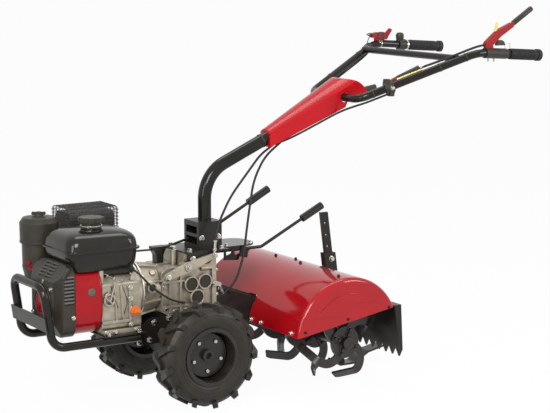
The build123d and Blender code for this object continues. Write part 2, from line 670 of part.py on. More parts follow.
def on_slope(share):
    """Point on the left bar's rising part, from its lower bend at 0 to its upper bend at 1."""
    low, high = Vector(*bar_points()[1]), Vector(*BAR_BEND)
    return low + (high - low) * share


def on_grip(distance):
    """Point on the level part of the left bar, at a distance back from its bend."""
    bend = Vector(*BAR_BEND)
    return bend + (Vector(*BAR_END) - bend).normalized() * distance


def handlebar_brace():
    at = on_slope(0.83)
    brace = rod((at.X, -at.Y, at.Z + 6), (at.X, at.Y, at.Z + 6), BRACE_RADIUS)
    return largest(brace - handlebar() - mirrored(handlebar()))


def grip():
    """Rubber sleeve with a collar at each end, over the end of the bar."""
    end, inward = Vector(*BAR_END), (Vector(*BAR_BEND) - Vector(*BAR_END)).normalized()

    def ring(start, stop, radius):
        return rod(tuple(end + inward * start), tuple(end + inward * stop), radius)

    sleeve = ring(-5, GRIP_LENGTH, GRIP_RADIUS) + ring(-5, 8, GRIP_RADIUS + 2.5)
    return sleeve - ring(0, GRIP_LENGTH + 50, BAR_RADIUS)


def lock_line():
    """Ends of the height lock, from the column's end out through the cover's rear."""
    x, y, z = on_column(COLUMN_END_X + 4)
    return ((x, y, z), (x - 144, y, z + 22))


def cover_section(x, sizes, shrink, drop):
    """Section of the handle cover, upright across the machine at x: flat sides and an arched top."""
    half, ridge, crown = (size - shrink for size in sizes)
    z = column_z(x)
    low = COVER_LOW - drop
    return Plane.YZ.offset(x) * make_face([
        Polyline((half, z + ridge), (half, z + low), (-half, z + low), (-half, z + ridge)),
        ThreePointArc((-half, z + ridge), (0, z + crown), (half, z + ridge))])


def cover_form(shrink, drop):
    """Body of the handle cover, smaller all round by shrink, reaching lower by drop."""
    front, rear = COVER_FRONT_X - shrink, COVER_REAR_X - 10
    wedge = loft([cover_section(front, COVER_FRONT, shrink, drop),
                  cover_section(rear, COVER_REAR, shrink, drop)])
    x = COVER_REAR_X + shrink

    def at(back, rise):
        return (x - back, column_z(x - back) + rise)

    crest, nose, tip = at(-84, 63 - shrink), at(-28, 29 - shrink), at(0, -16)
    keep = make_face([
        Polyline(tip, at(-62, 2 - drop), at(-78, COVER_LOW - drop - 1), (front + 20, tip[1] - 400),
                 (front + 20, crest[1]), crest),
        ThreePointArc(crest, nose, tip)])
    return wedge & along_y(keep, -100, 100)


def handle_cover():
    """Thin moulded shell, open below, with holes for the column, the bars and the lock."""
    shell = cover_form(0, 0) - cover_form(COVER_WALL, 40)
    column = rod(on_column(COLUMN_X - 150), on_column(COLUMN_END_X), COLUMN_RADIUS + 0.3)
    lock = rod(*lock_line(), LOCK_GRIP + 2)
    return shell - column - lock - both_sides(bar_like(BAR_RADIUS + 2))


def clamp_ring(start, end, radius):
    return rod(tuple(start), tuple(end), radius)


def clutch_clamp():
    return clamp_ring(on_grip(28), on_grip(118), BAR_RADIUS + 4) - bar_like(BAR_RADIUS)


def clutch_lever():
    """Hand lever over the left grip: broad cast blade on its stand and a thin round handle."""
    at = on_grip(38)
    x, y, z = at.X, at.Y, at.Z
    pivot, waist = round_at(x - 2, z + 26, 13), round_at(x - 46, z + 61, 12)
    neck = round_at(x - 94, z + 84, 8)
    blade = along_y(hull_of(pivot, waist) + hull_of(waist, neck), y - 7, y + 7)
    side = outline((x - 24, z + 8), (x + 8, z + 8), (x + 8, z + 30), (x - 18, z + 30))
    stand = along_y(side, y - 6, y + 6)
    handle = rod((x - 92, y, z + 83), (x - 175, y, z + 134), 7)
    return blade + stand + handle - clamp_ring(on_grip(28), on_grip(118), BAR_RADIUS + 4)


def reverse_lever():
    """Second hand lever, lying along the left bar's slope on its own clamp."""
    low = on_slope(0.33) + Vector(0, -21, 8)
    high = on_slope(0.54) + Vector(0, -22, 16)
    clamp = clamp_ring(on_slope(0.22), on_slope(0.29), BAR_RADIUS + 6)
    pivot = rod(tuple(on_slope(0.26) + Vector(0, -8, 10)), tuple(low), 8)
    handle = rod(tuple(low), tuple(high), 9)
    return (clamp + pivot + handle) - bar_like(BAR_RADIUS)


def throttle_lever():
    """Oval throttle body on the right bar with a short curled lever."""
    at = on_grip(8)
    x, y, z = at.X, -at.Y, at.Z
    body = along_y(hull_of(round_at(x + 16, z + 27, 8), round_at(x - 30, z + 24, 12)), y - 10, y + 10)
    curl = outline((x - 34, z + 20), (x - 48, z + 24), (x - 62, z + 44), (x - 52, z + 49), (x - 38, z + 36))
    finger = along_y(curl, y - 4, y + 4)
    foot = block((x - 26, x + 6), (y - 8, y + 8), (z, z + 20))
    return (body + finger + foot) - mirrored(bar_like(BAR_RADIUS))


def stop_switch():
    at = on_grip(100)
    x, y, z = at.X, -at.Y, at.Z
    ring = mirrored(clamp_ring(on_grip(92), on_grip(118), BAR_RADIUS + 6))
    knob = rod((x, y, z + 6), (x, y, z + 36), 12)
    return (ring + knob) - mirrored(bar_like(BAR_RADIUS))


def lever_with_grip(points, bends):
    """Bent rod with a round hand grip on its far end."""
    last, run = Vector(*points[-1]), (Vector(*points[-1]) - Vector(*points[-2])).normalized()
    stalk = bent_rod(points, bends, LEVER_ROD) if bends else rod(*points, LEVER_ROD)
    radius, length = LEVER_GRIP
    return stalk + rod(tuple(last - run * length), tuple(last + run * 6), radius)


def gear_lever():
    x, y, z = GEAR_LEVER[0]
    foot = block((x - 12, x + 12), (y - 10, y + 8), (SADDLE_TOP_Z, z + 6))
    return lever_with_grip(GEAR_LEVER, []) + foot


def tiller_lever():
    (y, z), elbow, tip = TILLER_LEVER
    return lever_with_grip([(GEARBOX_REAR_X - 5, y, z), (elbow[0], y, elbow[1]), (tip[0], y, tip[1])], [24])


def handle_lock():
    """Lever behind the column's end that locks the bars' height."""
    start, stop = (Vector(*point) for point in lock_line())
    hand = rod(tuple(start + (stop - start) * 0.44), tuple(stop), LOCK_GRIP)
    return rod(*lock_line(), LEVER_ROD) + hand - handle_column()


def gate_plate():
    """Level plate behind the saddle with round rear corners and a stepped gate under its near edge."""
    low, high = SADDLE_SEAT_Z, SADDLE_TOP_Z
    front, rear = SOCKET_X[0] - 4, SOCKET_X[0] - 129
    plan = outline((front, 52), (rear, 52), (rear, -74), (front, -74))
    plan = fillet(plan.vertices().group_by(Axis.X)[0], 50)
    comb = outline((front, low), (rear + 52, low), (rear + 40, low - 20), (rear + 44, low - 36),
                   (rear + 70, low - 30), (rear + 76, low - 40), (front, low - 36))
    comb -= [outline((x, low - 8), (x - 22, low - 8), (x - 18, low - 20), (x - 2, low - 24))
             for x in (front - 6, front - 36)]
    return along_z(plan, low, high) + along_y(comb, 48, 52)


def selector_lever():
    """Flared selector post standing on the gearbox, with thin rods forward and back to the socket."""
    z = GEARBOX_TOP_Z
    side = outline((23, z), (45, z), (46, z + 26), (57, z + 46), (57, z + 52), (13, z + 52), (13, z + 46),
                   (22, z + 26))
    post = along_y(side, -36, -8)
    ahead = rod((50, -20, z + 43), (150, -20, z + 45), 3)
    return post + ahead + rod((14, -20, z + 45), (SOCKET_X[1] - 1, -20, z + 66), 4)


def clutch_cable():
    cord = soft_cord([on_column(-360, 8, -30), (-309, 10, 704), (-258, 20, 655), (-176, 50, 587),
                      (-120, 80, 520), (-100, 91, 470), (-97, 91, 424)], 3.5)
    return largest(cord - clutch_arm() - handle_cover())


def shift_cable():
    cord = soft_cord([on_column(-380, 18, -31), (-318, 20, 698), (-268, 36, 630), (-235, 55, 507),
                      (-214, 66, 402), (-176, 72, 318), (-100, 66, 276)], 3.5)
    return largest(cord - gearbox_case() - drive_arm() - handle_cover() - handle_saddle())


def throttle_cable():
    cord = soft_cord([(200, 84, TANK_BOTTOM_Z + 10), (166, 101, 400), (120, 106, 349), (58, 102, 306),
                      (8, 92, 290), (-4, 70, 286)], 3.0)
    return largest(cord - fuel_tank() - gearbox_case() - crankcase() - bell_housing())


# Tiller

def arm_side(grow):
    """Side of the drive arm, larger all round by grow."""
    front, end = (radius + grow for radius in ARM_RADII)
    return hull_of(round_at(*ARM_FRONT, front), round_at(ROTOR_X, ROTOR_Z, end))


def drive_arm():
    """Cast case that carries the drive from the gearbox down to the rotor."""
    arm = along_y(arm_side(0), -ARM_HALF_WIDTH, ARM_HALF_WIDTH)
    rib = along_y(arm_side(ARM_RIB), -4, 4)
    half, low, high = ARM_FLANGE
    arm += rib + block((GEARBOX_REAR_X - 14, GEARBOX_REAR_X), (-half, half), (low, high))
    arm += disc_y(ROTOR_X, ROTOR_Z, ROTOR_SHAFT_RADIUS + 12, -ARM_HALF_WIDTH - 4, ARM_HALF_WIDTH + 4)
    arm -= block((GEARBOX_REAR_X, 0), (-90, 90), (200, 400))
    return arm - disc_y(ROTOR_X, ROTOR_Z, ROTOR_SHAFT_RADIUS + RUNNING_GAP, -60, 60)


def hood_point(angle, radius):
    return (HOOD_CENTRE[0] + radius * cos(radians(angle)), HOOD_CENTRE[1] + radius * sin(radians(angle)))


def hood_profile(radius):
    """Segment of the hood's side, its straight lower edge from front to rear."""
    front, rear = hood_point(HOOD_FRONT_ANGLE, radius), hood_point(HOOD_REAR_ANGLE, radius)
    middle = hood_point((HOOD_FRONT_ANGLE + HOOD_REAR_ANGLE) / 2, radius)
    return make_face([ThreePointArc(front, middle, rear), Line(rear, front)])


def hood_form(radius, half, edge):
    form = along_y(hood_profile(radius), -half, half)
    return fillet(form.edges().filter_by(GeomType.CIRCLE), edge)


def hood_bracket():
    """Two plates that carry the hood from the drive arm."""
    x, half = HOOD_CENTRE[0], ARM_HALF_WIDTH
    z = HOOD_CENTRE[1]
    plate = block((x + 14, x + 84), (half - 6, half), (z - 20, z + 2 * HOOD_RADIUS))
    inside = disc_y(*HOOD_CENTRE, HOOD_INNER, -60, 60)
    return ((plate & inside) - drive_arm()).solids() + ((mirrored(plate) & inside) - drive_arm()).solids()


def depth_line(z):
    """X of the depth bar's middle line at a height."""
    x, crossing = hood_point(DEPTH_ANGLE, HOOD_RADIUS)
    return x + (z - crossing) * tan(radians(DEPTH_LEAN))


def depth_strip(low, high, half_x, half_y):
    """Upright bar along the depth bar's lean, between two heights."""
    face = outline((depth_line(low) - half_x, low), (depth_line(low) + half_x, low),
                   (depth_line(high) + half_x, high), (depth_line(high) - half_x, high))
    return along_y(face, -half_y, half_y)


def tiller_hood():
    half, t = HOOD_HALF_WIDTH, HOOD_SHEET
    shell = hood_form(HOOD_RADIUS, half, HOOD_EDGE) - hood_form(HOOD_INNER, half - t, HOOD_EDGE - t)
    front, rear = hood_point(HOOD_FRONT_ANGLE, HOOD_INNER), hood_point(HOOD_REAR_ANGLE, HOOD_INNER)
    below = outline(front, rear, (rear[0], rear[1] - HOOD_RADIUS), (front[0], rear[1] - HOOD_RADIUS))
    shell -= along_y(below, t - half, half - t)
    gap = HOOD_SLOT_GAP
    shell -= along_y(arm_side(ARM_RIB + gap), -ARM_HALF_WIDTH - gap, ARM_HALF_WIDTH + gap)
    radius, height = HOOD_PANEL
    step = outline((134, 77), (25, 70), (-6, 94), (-34, 106), (-126, 100), (-126, 232), (134, 232))
    field = Pos(*HOOD_CENTRE) * (Circle(radius) & step)
    shell += both_sides(along_y(field, half - t / 2, half + height))
    crossing = hood_point(DEPTH_ANGLE, HOOD_RADIUS)[1]
    x, y = DEPTH_BAR_SIZE[0] / 2 + 1, DEPTH_BAR_SIZE[1] / 2 + 1
    return shell - depth_strip(crossing - 60, crossing + 60, x, y)


def leveling_flap():
    """Steel comb behind the hood: a level shelf, a plate with side returns, and saw teeth below."""
    x, z = hood_point(HOOD_REAR_ANGLE, HOOD_RADIUS)
    back, t, half = x - FLAP_SHELF, FLAP_SHEET, HOOD_HALF_WIDTH - 4
    low = (back - FLAP_DROP[0], z - FLAP_DROP[1])
    side = outline((x + 8, z), (x + 8, z + t), (back - t, z + t), (low[0] - t, low[1]), low, (back, z))
    plate = along_y(side, -half, half)
    end = outline((x - 1, z + t / 2), (back - t / 2, z + t / 2), (low[0] - t / 2, low[1] + FLAP_TOOTH[1]),
                  (low[0] + 8, low[1] + FLAP_TOOTH[1]))
    plate += both_sides(along_y(end, half - t, half))
    pitch, depth = FLAP_TOOTH
    count = round(2 * half / pitch)
    pitch = 2 * half / count
    for tooth in range(count + 1):
        y, wide = pitch * tooth - half, pitch / 2 - 1.5
        notch = outline((y - wide, low[1] - 1), (y + wide, low[1] - 1), (y, low[1] + depth))
        plate -= along_x(notch, low[0] - 20, low[0] + 20)
    return plate - along_y(hood_profile(HOOD_RADIUS), -HOOD_HALF_WIDTH, HOOD_HALF_WIDTH)


def depth_bracket():
    x, y = DEPTH_BAR_SIZE[0] / 2, DEPTH_BAR_SIZE[1] / 2
    wall, top = DEPTH_SLEEVE
    low = HOOD_CENTRE[1] + HOOD_RADIUS / 3
    sleeve = depth_strip(low, top, x + wall, y + wall) - depth_strip(low - 20, top + 20, x + 0.2, y + 0.2)
    return sleeve - disc_y(*HOOD_CENTRE, HOOD_RADIUS, -60, 60)


def depth_bar():
    """Flat bar with a row of holes, and a sprung skid that runs on the ground behind the rotor."""
    x, y = DEPTH_BAR_SIZE[0] / 2, DEPTH_BAR_SIZE[1] / 2
    t, foot = SKID_THICK, depth_line(0)
    bar = depth_strip(t, DEPTH_BAR_TOP_Z, x, y)
    for step in range(3):
        z = DEPTH_BAR_TOP_Z - DEPTH_HOLE_TOP - DEPTH_HOLE_PITCH * step
        bar -= disc_y(depth_line(z), z, DEPTH_HOLE_RADIUS, -20, 20)
    skid = outline((foot + 34, 16), (foot + 16, 0), (foot - 44, 0), (foot - 94, 30), (foot - 154, 42),
                   (foot - 153, 42 + t), (foot - 92, 30 + t), (foot - 42, t), (foot + 14, t),
                   (foot + 29, 16 + t * 0.7))
    return bar + along_y(skid, -SKID_HALF_WIDTH, SKID_HALF_WIDTH)


def tine():
    """Flat sickle, drawn outwards along X from the rotor's middle, whose blade turns sideways to +Y."""
    out, behind = TINE_SWEEP
    path = FilletPolyline((20, 0, 0), (out, 0, 0), (out, 0, behind), TINE_BLADE, radius=TINE_BENDS)
    start = Plane(origin=path @ 0, z_dir=path % 0, x_dir=(0, 1, 0))
    bar = sweep(start * Rectangle(TINE_THICK, TINE_WIDTH), path=path)
    return bar & disc_y(0, 0, TINE_RADIUS, -20, TINE_BLADE[1] + 40)


def tiller_rotor():
    half = ROTOR_HALF_LENGTH
    whole = disc_y(0, 0, ROTOR_SHAFT_RADIUS, -half, half)
    for row, y in enumerate(TINE_FLANGE_Y):
        left = disc_y(0, 0, TINE_FLANGE_RADIUS, y - 4, y + 4)
        outwards = row == 0
        for number in range(TINES_PER_FLANGE):
            turn = 360 * number / TINES_PER_FLANGE + TINE_PHASE[row]
            blade = tine() if outwards else mirrored(tine())
            left += Pos(0, y + (4 if outwards else -4), 0) * Rot(0, turn, 0) * blade
        whole += left
        whole += mirrored(left)
    return Pos(ROTOR_X, 0, ROTOR_Z) * whole


def left_and_right(name, shape):
    return {name + "_left": shape, name + "_right": mirrored(shape)}


def pieces():
    out = {
        "crankcase": crankcase(), "oil_plug": oil_plug(), "cylinder": cylinder(),
        "blower_housing": blower_housing(), "recoil_cover": recoil_cover(), "fuel_tank": fuel_tank(),
        "fuel_cap": fuel_cap(), "air_cleaner": air_cleaner(), "intake": intake(), "muffler": muffler(),
        "muffler_guard": muffler_guard(), "bumper_frame": bumper_frame(), "bumper_plate": bumper_plate(),
        "engine_bed": engine_bed(), "bell_housing": bell_housing(), "gearbox_case": gearbox_case(),
        "gearbox_plugs": gearbox_plugs(), "clutch_arm": clutch_arm(),
        "final_drive_case": final_drive_case(), "handle_saddle": handle_saddle(),
        "handle_socket": handle_socket(), "handle_column": handle_column(),
        "handle_cover": handle_cover(), "handle_lock": handle_lock(),
        "handlebar_brace": handlebar_brace(), "clutch_clamp": clutch_clamp(),
        "clutch_lever": clutch_lever(), "reverse_lever": reverse_lever(),
        "throttle_lever": throttle_lever(), "stop_switch": stop_switch(), "gear_lever": gear_lever(),
        "tiller_lever": tiller_lever(), "gate_plate": gate_plate(), "selector_lever": selector_lever(),
        "clutch_cable": clutch_cable(), "shift_cable": shift_cable(), "throttle_cable": throttle_cable(),
        "drive_arm": drive_arm(), "hood_bracket": hood_bracket(), "tiller_hood": tiller_hood(),
        "leveling_flap": leveling_flap(), "depth_bracket": depth_bracket(), "depth_bar": depth_bar(),
        "tiller_rotor": tiller_rotor(),
    }
    for name, shape in (("handlebar", handlebar()), ("grip", grip()), ("tyre", tyre()), ("rim", rim()),
                        ("hub", hub()), ("axle", axle())):
        out.update(left_and_right(name, shape))
    return out


def as_shape(piece):
    return Compound(children=list(piece)) if isinstance(piece, list) else piece


os.makedirs("parts", exist_ok=True)
made = {name: as_shape(piece) for name, piece in pieces().items()}
front = max(shape.bounding_box().max.X for shape in made.values())
rear = min(shape.bounding_box().min.X for shape in made.values())
middle = (front + rear) / 2
for name, shape in made.items():
    export_step(Pos(-middle, 0, 0) * shape, "parts/" + name + ".step")
print(len(made), "pieces, middle at", round(middle, 3))
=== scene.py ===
# %% [markdown]
# # A walk-behind tractor with a rotary tiller
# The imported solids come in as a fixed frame. This lesson gives each of them its finish, and adds what
# a maker bolts, clips or threads on afterwards: screws, cables, wire mesh, sleeves and small controls.
# Everything is in metres. The solids are never moved or reshaped, and two of them, the fuel tank and the
# muffler's guard, give their place to a finer shape of the same form.

# %% Load the frame
import json
from math import cos, pi, radians, sin
import bmesh
import bpy
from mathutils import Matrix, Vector
from mathutils.bvhtree import BVHTree


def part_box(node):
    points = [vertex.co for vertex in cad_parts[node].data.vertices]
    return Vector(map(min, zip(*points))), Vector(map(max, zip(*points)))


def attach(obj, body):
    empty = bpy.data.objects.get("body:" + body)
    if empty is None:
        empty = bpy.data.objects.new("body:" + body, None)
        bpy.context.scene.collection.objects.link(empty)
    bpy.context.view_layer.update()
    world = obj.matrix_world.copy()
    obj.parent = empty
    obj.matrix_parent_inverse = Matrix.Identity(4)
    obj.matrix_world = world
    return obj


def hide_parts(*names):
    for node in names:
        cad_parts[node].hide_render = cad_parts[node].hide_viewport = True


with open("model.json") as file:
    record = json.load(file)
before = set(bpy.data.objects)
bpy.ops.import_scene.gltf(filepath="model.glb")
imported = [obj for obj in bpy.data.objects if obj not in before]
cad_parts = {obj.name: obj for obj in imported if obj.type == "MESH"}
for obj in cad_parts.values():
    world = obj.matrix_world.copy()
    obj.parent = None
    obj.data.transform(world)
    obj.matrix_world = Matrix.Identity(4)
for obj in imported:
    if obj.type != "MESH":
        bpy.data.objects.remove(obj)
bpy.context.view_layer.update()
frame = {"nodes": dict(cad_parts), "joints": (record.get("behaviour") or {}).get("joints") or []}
nodes = frame["nodes"]

# %% [markdown]
# ## Places on the machine
# A fitter says where a thing goes in millimetres from something easy to find. Here that is the wheel
# axle, with the ground at zero height. One function turns such a place into the frame's metres, so
# every list below can be read with a tape measure in hand.

# %% One way to say where
MM = 0.001
UP, LEFT = Vector((0, 0, 1)), Vector((0, 1, 0))


def joint_at(name):
    """Place of a joint, in the frame's metres."""
    return Vector(next(joint["pos_m"] for joint in frame["joints"] if joint["name"] == name))


AXLE, ROTOR = joint_at("wheel_left_spin"), joint_at("rotor_spin")


def spot(x, y, z):
    """Place in metres, from millimetres forward of the axle, to the left and above the ground."""
    return Vector((AXLE.x + x * MM, y * MM, z * MM))


print("axle at", [round(v, 4) for v in AXLE])

# %% [markdown]
# ## Camera
# The photograph was taken from the front left with a long lens. The camera could be moved by eye until
# it looks right. It was fitted instead to points that are easy to find: the near hub, the wheels' feet,
# the hood's near end, and the bends and ends of the handlebars. The fit gives its place, its turn and
# its lens together, so the lens needs no shift.

# %% Camera at the photograph's place
CAMERA_AT = spot(2431, 4469, 1375)
CAMERA_TURN, CAMERA_PITCH = radians(32.06), radians(9.04)
LENS_MM, SENSOR_MM = 112.4, 36.0
PHOTO_WIDE, PHOTO_HIGH = 550, 413

lens = bpy.data.cameras.new("camera")
lens.lens, lens.sensor_width, lens.sensor_fit = LENS_MM, SENSOR_MM, "HORIZONTAL"
camera = bpy.data.objects.new("camera", lens)
look = Vector((-sin(CAMERA_TURN) * cos(CAMERA_PITCH), -cos(CAMERA_TURN) * cos(CAMERA_PITCH),
               -sin(CAMERA_PITCH)))
camera.location = CAMERA_AT
camera.rotation_euler = look.to_track_quat("-Z", "Y").to_euler()
bpy.context.scene.collection.objects.link(camera)
bpy.context.scene.camera = camera
print("camera looks along", [round(v, 3) for v in look])

# %% [markdown]
# ## Nodes and colours
# Every finish below is drawn with shader nodes. One function adds a node with its settings and links,
# and one turns the hex colour of a paint chart into the linear numbers that the renderer works with.
# Patterns take their scale from a size in millimetres, so they stay true if the picture is closer.

# %% Small helpers for every material


def linear(code):
    """Linear colour of an sRGB hex value."""
    parts = [int(code[i:i + 2], 16) / 255 for i in (1, 3, 5)]
    return tuple(p / 12.92 if p <= 0.04045 else ((p + 0.055) / 1.055) ** 2.4 for p in parts) + (1.0,)


def add(tree, kind, settings=(), links=()):
    """New node with its settings, by property or socket name, and its incoming links."""
    node = tree.nodes.new("ShaderNode" + kind)
    for name, value in dict(settings).items():
        if isinstance(name, str) and name in node.bl_rna.properties:
            setattr(node, name, value)
        else:
            node.inputs[name].default_value = value
    for name, source in dict(links).items():
        tree.links.new(source, node.inputs[name])
    return node


def per_metre(size_mm):
    """Scale of a pattern whose features are so many millimetres across."""
    return 1000.0 / size_mm


def begin(name):
    """Material with a plain surface shader, its tree, and the point in the object's own metres."""
    material = bpy.data.materials.new(name)
    material.use_nodes = True
    tree = material.node_tree
    shader = tree.nodes["Principled BSDF"]
    place = add(tree, "TexCoord").outputs["Object"]
    return material, tree, shader, place


print("red enamel is", [round(v, 3) for v in linear("#A60C17")], "in linear light")

# %% [markdown]
# ## A finish with patches, grain and soft edges
# Paint, moulded plastic and castings share a few things. Their colour wanders slightly over a few
# centimetres. Their gloss is uneven from handling. Their skin has a fine grain, and their edges are
# never knife sharp. Some edges get a lighter colour: wear to bare steel on the tines, and a painted
# highlight on the castings. Castings, tyres and tines also get painted shade, a darker colour in corners
# and between parts, where ambient occlusion finds little open sky. Each material could have a tree of
# its own, but then they would drift apart. One function lays all of this down, and each material only
# says its numbers. Paints, plastics and rubber all have an IOR close to 1.5, the shader's own value, so
# it stays. What is matched to the photograph is the roughness and the strength of the shine. Noise stays
# near its middle value, so a narrow stretch of it is spread over the whole range.

# %% Shared surface
PATCH_FROM, PATCH_TO = 0.35, 0.65
RUB_FROM, RUB_TO = 0.3, 0.7
WEAR_AND_HIGHLIGHT_FROM, WEAR_AND_HIGHLIGHT_TO, WEAR_AND_HIGHLIGHT_MOST = 0.995, 0.9, 0.85
PAINTED_SHADE_FROM, PAINTED_SHADE_TO, PAINTED_SHADE_MOST = 0.8, 0.3, 0.8
finishes = {}


def finish(name, colours, patch_mm, gloss, grain_mm, grain_depth_mm, edge_mm,
           metallic=0.0, shine=0.5, edge_wear_and_highlight=None, corners=None):
    """Material from two colours in patches, a range of roughness, a grain and rounded edges."""
    material, tree, shader, place = begin(name)
    patches = add(tree, "TexNoise", {"Scale": per_metre(patch_mm), "Detail": 5.0, "Roughness": 0.6},
                  {"Vector": place})
    tint = add(tree, "MapRange", {"From Min": PATCH_FROM, "From Max": PATCH_TO},
               {"Value": patches.outputs["Fac"]})
    colour = add(tree, "Mix", {"data_type": "RGBA", 6: linear(colours[0]), 7: linear(colours[1])},
                 {0: tint.outputs["Result"]})
    rubs = add(tree, "TexNoise", {"Scale": per_metre(patch_mm / 3), "Detail": 6.0, "Roughness": 0.65},
               {"Vector": place})
    sheen = add(tree, "MapRange",
                {"From Min": RUB_FROM, "From Max": RUB_TO, "To Min": gloss[0], "To Max": gloss[1]},
                {"Value": rubs.outputs["Fac"]})
    round_edge = add(tree, "Bevel", {"samples": 8, "Radius": edge_mm * MM})
    grain = add(tree, "TexNoise", {"Scale": per_metre(grain_mm), "Detail": 3.0}, {"Vector": place})
    bump = add(tree, "Bump", {"Strength": 1.0, "Distance": grain_depth_mm * MM},
               {"Height": grain.outputs["Fac"], "Normal": round_edge.outputs["Normal"]})
    tree.links.new(sheen.outputs["Result"], shader.inputs["Roughness"])
    tree.links.new(bump.outputs["Normal"], shader.inputs["Normal"])
    last = colour.outputs[2]
    # Lighter edges: wear to bare steel on the tines, and a painted highlight on the castings.
    if edge_wear_and_highlight:
        flat = add(tree, "NewGeometry")
        same = add(tree, "VectorMath", {"operation": "DOT_PRODUCT"},
                   {0: round_edge.outputs["Normal"], 1: flat.outputs["Normal"]})
        edge = add(tree, "MapRange", {"From Min": WEAR_AND_HIGHLIGHT_FROM, "From Max": WEAR_AND_HIGHLIGHT_TO, "To Max": WEAR_AND_HIGHLIGHT_MOST},
                   {"Value": same.outputs["Value"]})
        worn_and_highlit = add(tree, "Mix", {"data_type": "RGBA", 7: linear(edge_wear_and_highlight)},
                   {0: edge.outputs["Result"], 6: last})
        last = worn_and_highlit.outputs[2]
    # Painted shade: ambient occlusion darkens the colour in corners and between parts, where shade falls.
    if corners:
        shade, reach_mm = corners
        open_sky = add(tree, "AmbientOcclusion", {"samples": 6, "Distance": reach_mm * MM})
        closed = add(tree, "MapRange", {"From Min": PAINTED_SHADE_FROM, "From Max": PAINTED_SHADE_TO, "To Max": PAINTED_SHADE_MOST},
                     {"Value": open_sky.outputs["AO"]})
        painted_shade = add(tree, "Mix", {"data_type": "RGBA", 7: linear(shade)},
                    {0: closed.outputs["Result"], 6: last})
        last = painted_shade.outputs[2]
    tree.links.new(last, shader.inputs["Base Color"])
    shader.inputs["Metallic"].default_value = metallic
    shader.inputs["Specular IOR Level"].default_value = shine
    finishes[name] = material


print("one surface for every finish")

# %% [markdown]
# ## Red enamel, black coats and plastics
# The hood is pressed sheet under a glossy stoved enamel, so it mirrors the studio with hardly any
# grain. The engine's housing, the tank, the wheels and the levers are enamelled too, a little duller.
# The handle cover is moulded ABS, softer in its shine than the hood. The starter's cover, the fuel cap
# and the filter are black polypropylene with a spark-eroded grain, drawn at 1.2 mm so that it shows.
# The bars of the louvers are the same plastic, coloured a lighter grey as a painted highlight. The frame
# is black powder coat on steel: smooth on the tubes, with a trace of orange peel. Nylon is waxy, so its
# highlights are wide. Rubber hardly shines, and a tyre gets painted shade between its lugs.
#
# Each line reads: two colours, the size of their patches, least and most roughness, the size and the
# depth of the grain, and the radius of the edges.

# %% Paints and plastics
finish("hood_enamel", ("#A60C17", "#9C0A14"), 140, (0.08, 0.15), 4.0, 0.010, 0.8, shine=0.4)
finish("cover_abs", ("#B4101B", "#AA0D18"), 120, (0.16, 0.26), 4.0, 0.004, 0.5, shine=0.25)
finish("blower_enamel", ("#960B16", "#8C0912"), 60, (0.14, 0.24), 4.0, 0.006, 1.0, shine=0.25)
finish("lever_enamel", ("#980B15", "#8E0912"), 40, (0.22, 0.34), 4.0, 0.004, 0.4, shine=0.2)
finish("orange_nylon", ("#D4702E", "#C46022"), 20, (0.35, 0.5), 1.0, 0.02, 1.0, shine=0.4)
finish("yellow_nylon", ("#DCCF86", "#D2C478"), 14, (0.4, 0.55), 1.0, 0.02, 0.6, shine=0.4)
finish("moulded_polypropylene", ("#27231D", "#302B23"), 40, (0.36, 0.52), 1.2, 0.03, 1.0, shine=0.32)
finish("painted_highlight_polypropylene", ("#4A4946", "#55534F"), 30, (0.35, 0.5), 2.0, 0.008, 0.6, shine=0.5)
finish("tank_enamel", ("#1A1814", "#211E19"), 60, (0.1, 0.18), 3.0, 0.004, 2.0, shine=0.3)
finish("black_powder_coat", ("#1A1814", "#211E19"), 50, (0.26, 0.38), 3.0, 0.005, 0.6, shine=0.3)
finish("tube_powder_coat", ("#181612", "#1E1B17"), 50, (0.1, 0.16), 3.0, 0.004, 0.8, shine=0.25)
finish("grey_rubber", ("#5C594B", "#4E4B3F"), 10, (0.5, 0.65), 0.8, 0.02, 0.8, shine=0.3)
finish("grip_rubber", ("#191919", "#222120"), 20, (0.5, 0.7), 0.8, 0.03, 1.0, shine=0.3)
finish("tyre_rubber", ("#1F1C17", "#2A2620"), 40, (0.38, 0.55), 2.0, 0.03, 1.6, shine=0.3,
       corners=("#0C0B0A", 8))
finish("wheel_enamel", ("#1F1C18", "#272320"), 40, (0.2, 0.3), 3.0, 0.006, 0.4, shine=0.4)
print(len(finishes), "paints and plastics")

# %% [markdown]
# ## Castings and bare metal
# The crankcase and gearbox are die-cast aluminium, blasted to an even satin. Their edges are painted a
# lighter colour as a painted highlight, and their corners get painted shade. Blasting leaves pits far
# finer than a millimetre, which are drawn at 1.8 mm so that they show. The two rings on the bell's flange
# are a brighter aluminium, as a painted highlight. The arm to the rotor is cast iron under black paint,
# with a coarser skin. Most screws are zinc plated and bright, those of the tines are blackened, and the
# tines wear to bare steel along their edges and get painted shade in their corners. Ground steel and
# brass have a soft even sheen. Steel round the muffler is dark and dull, since heat has taken its shine.

# %% Metals
finish("die_cast_aluminium", ("#ADA493", "#958D7E"), 30, (0.34, 0.52), 1.8, 0.10, 1.2, metallic=0.7,
       edge_wear_and_highlight="#CBC6BA", corners=("#3B362F", 11))
finish("painted_highlight_aluminium", ("#D2CDC2", "#C2BDB2"), 20, (0.24, 0.36), 0.8, 0.01, 0.8, metallic=0.8)
finish("black_casting_paint", ("#171615", "#211F1D"), 40, (0.28, 0.46), 2.4, 0.08, 1.6, shine=0.4)
finish("tine_paint", ("#1A1614", "#26201C"), 26, (0.24, 0.46), 1.6, 0.04, 1.0, shine=0.5,
       edge_wear_and_highlight="#6A6058", corners=("#0C0A09", 14))
finish("ground_steel", ("#B9B6B0", "#A8A49D"), 12, (0.22, 0.38), 0.8, 0.01, 0.6, metallic=1.0)
finish("zinc_plate", ("#C6C3BB", "#B0ADA4"), 8, (0.16, 0.3), 0.8, 0.008, 0.5, metallic=1.0)
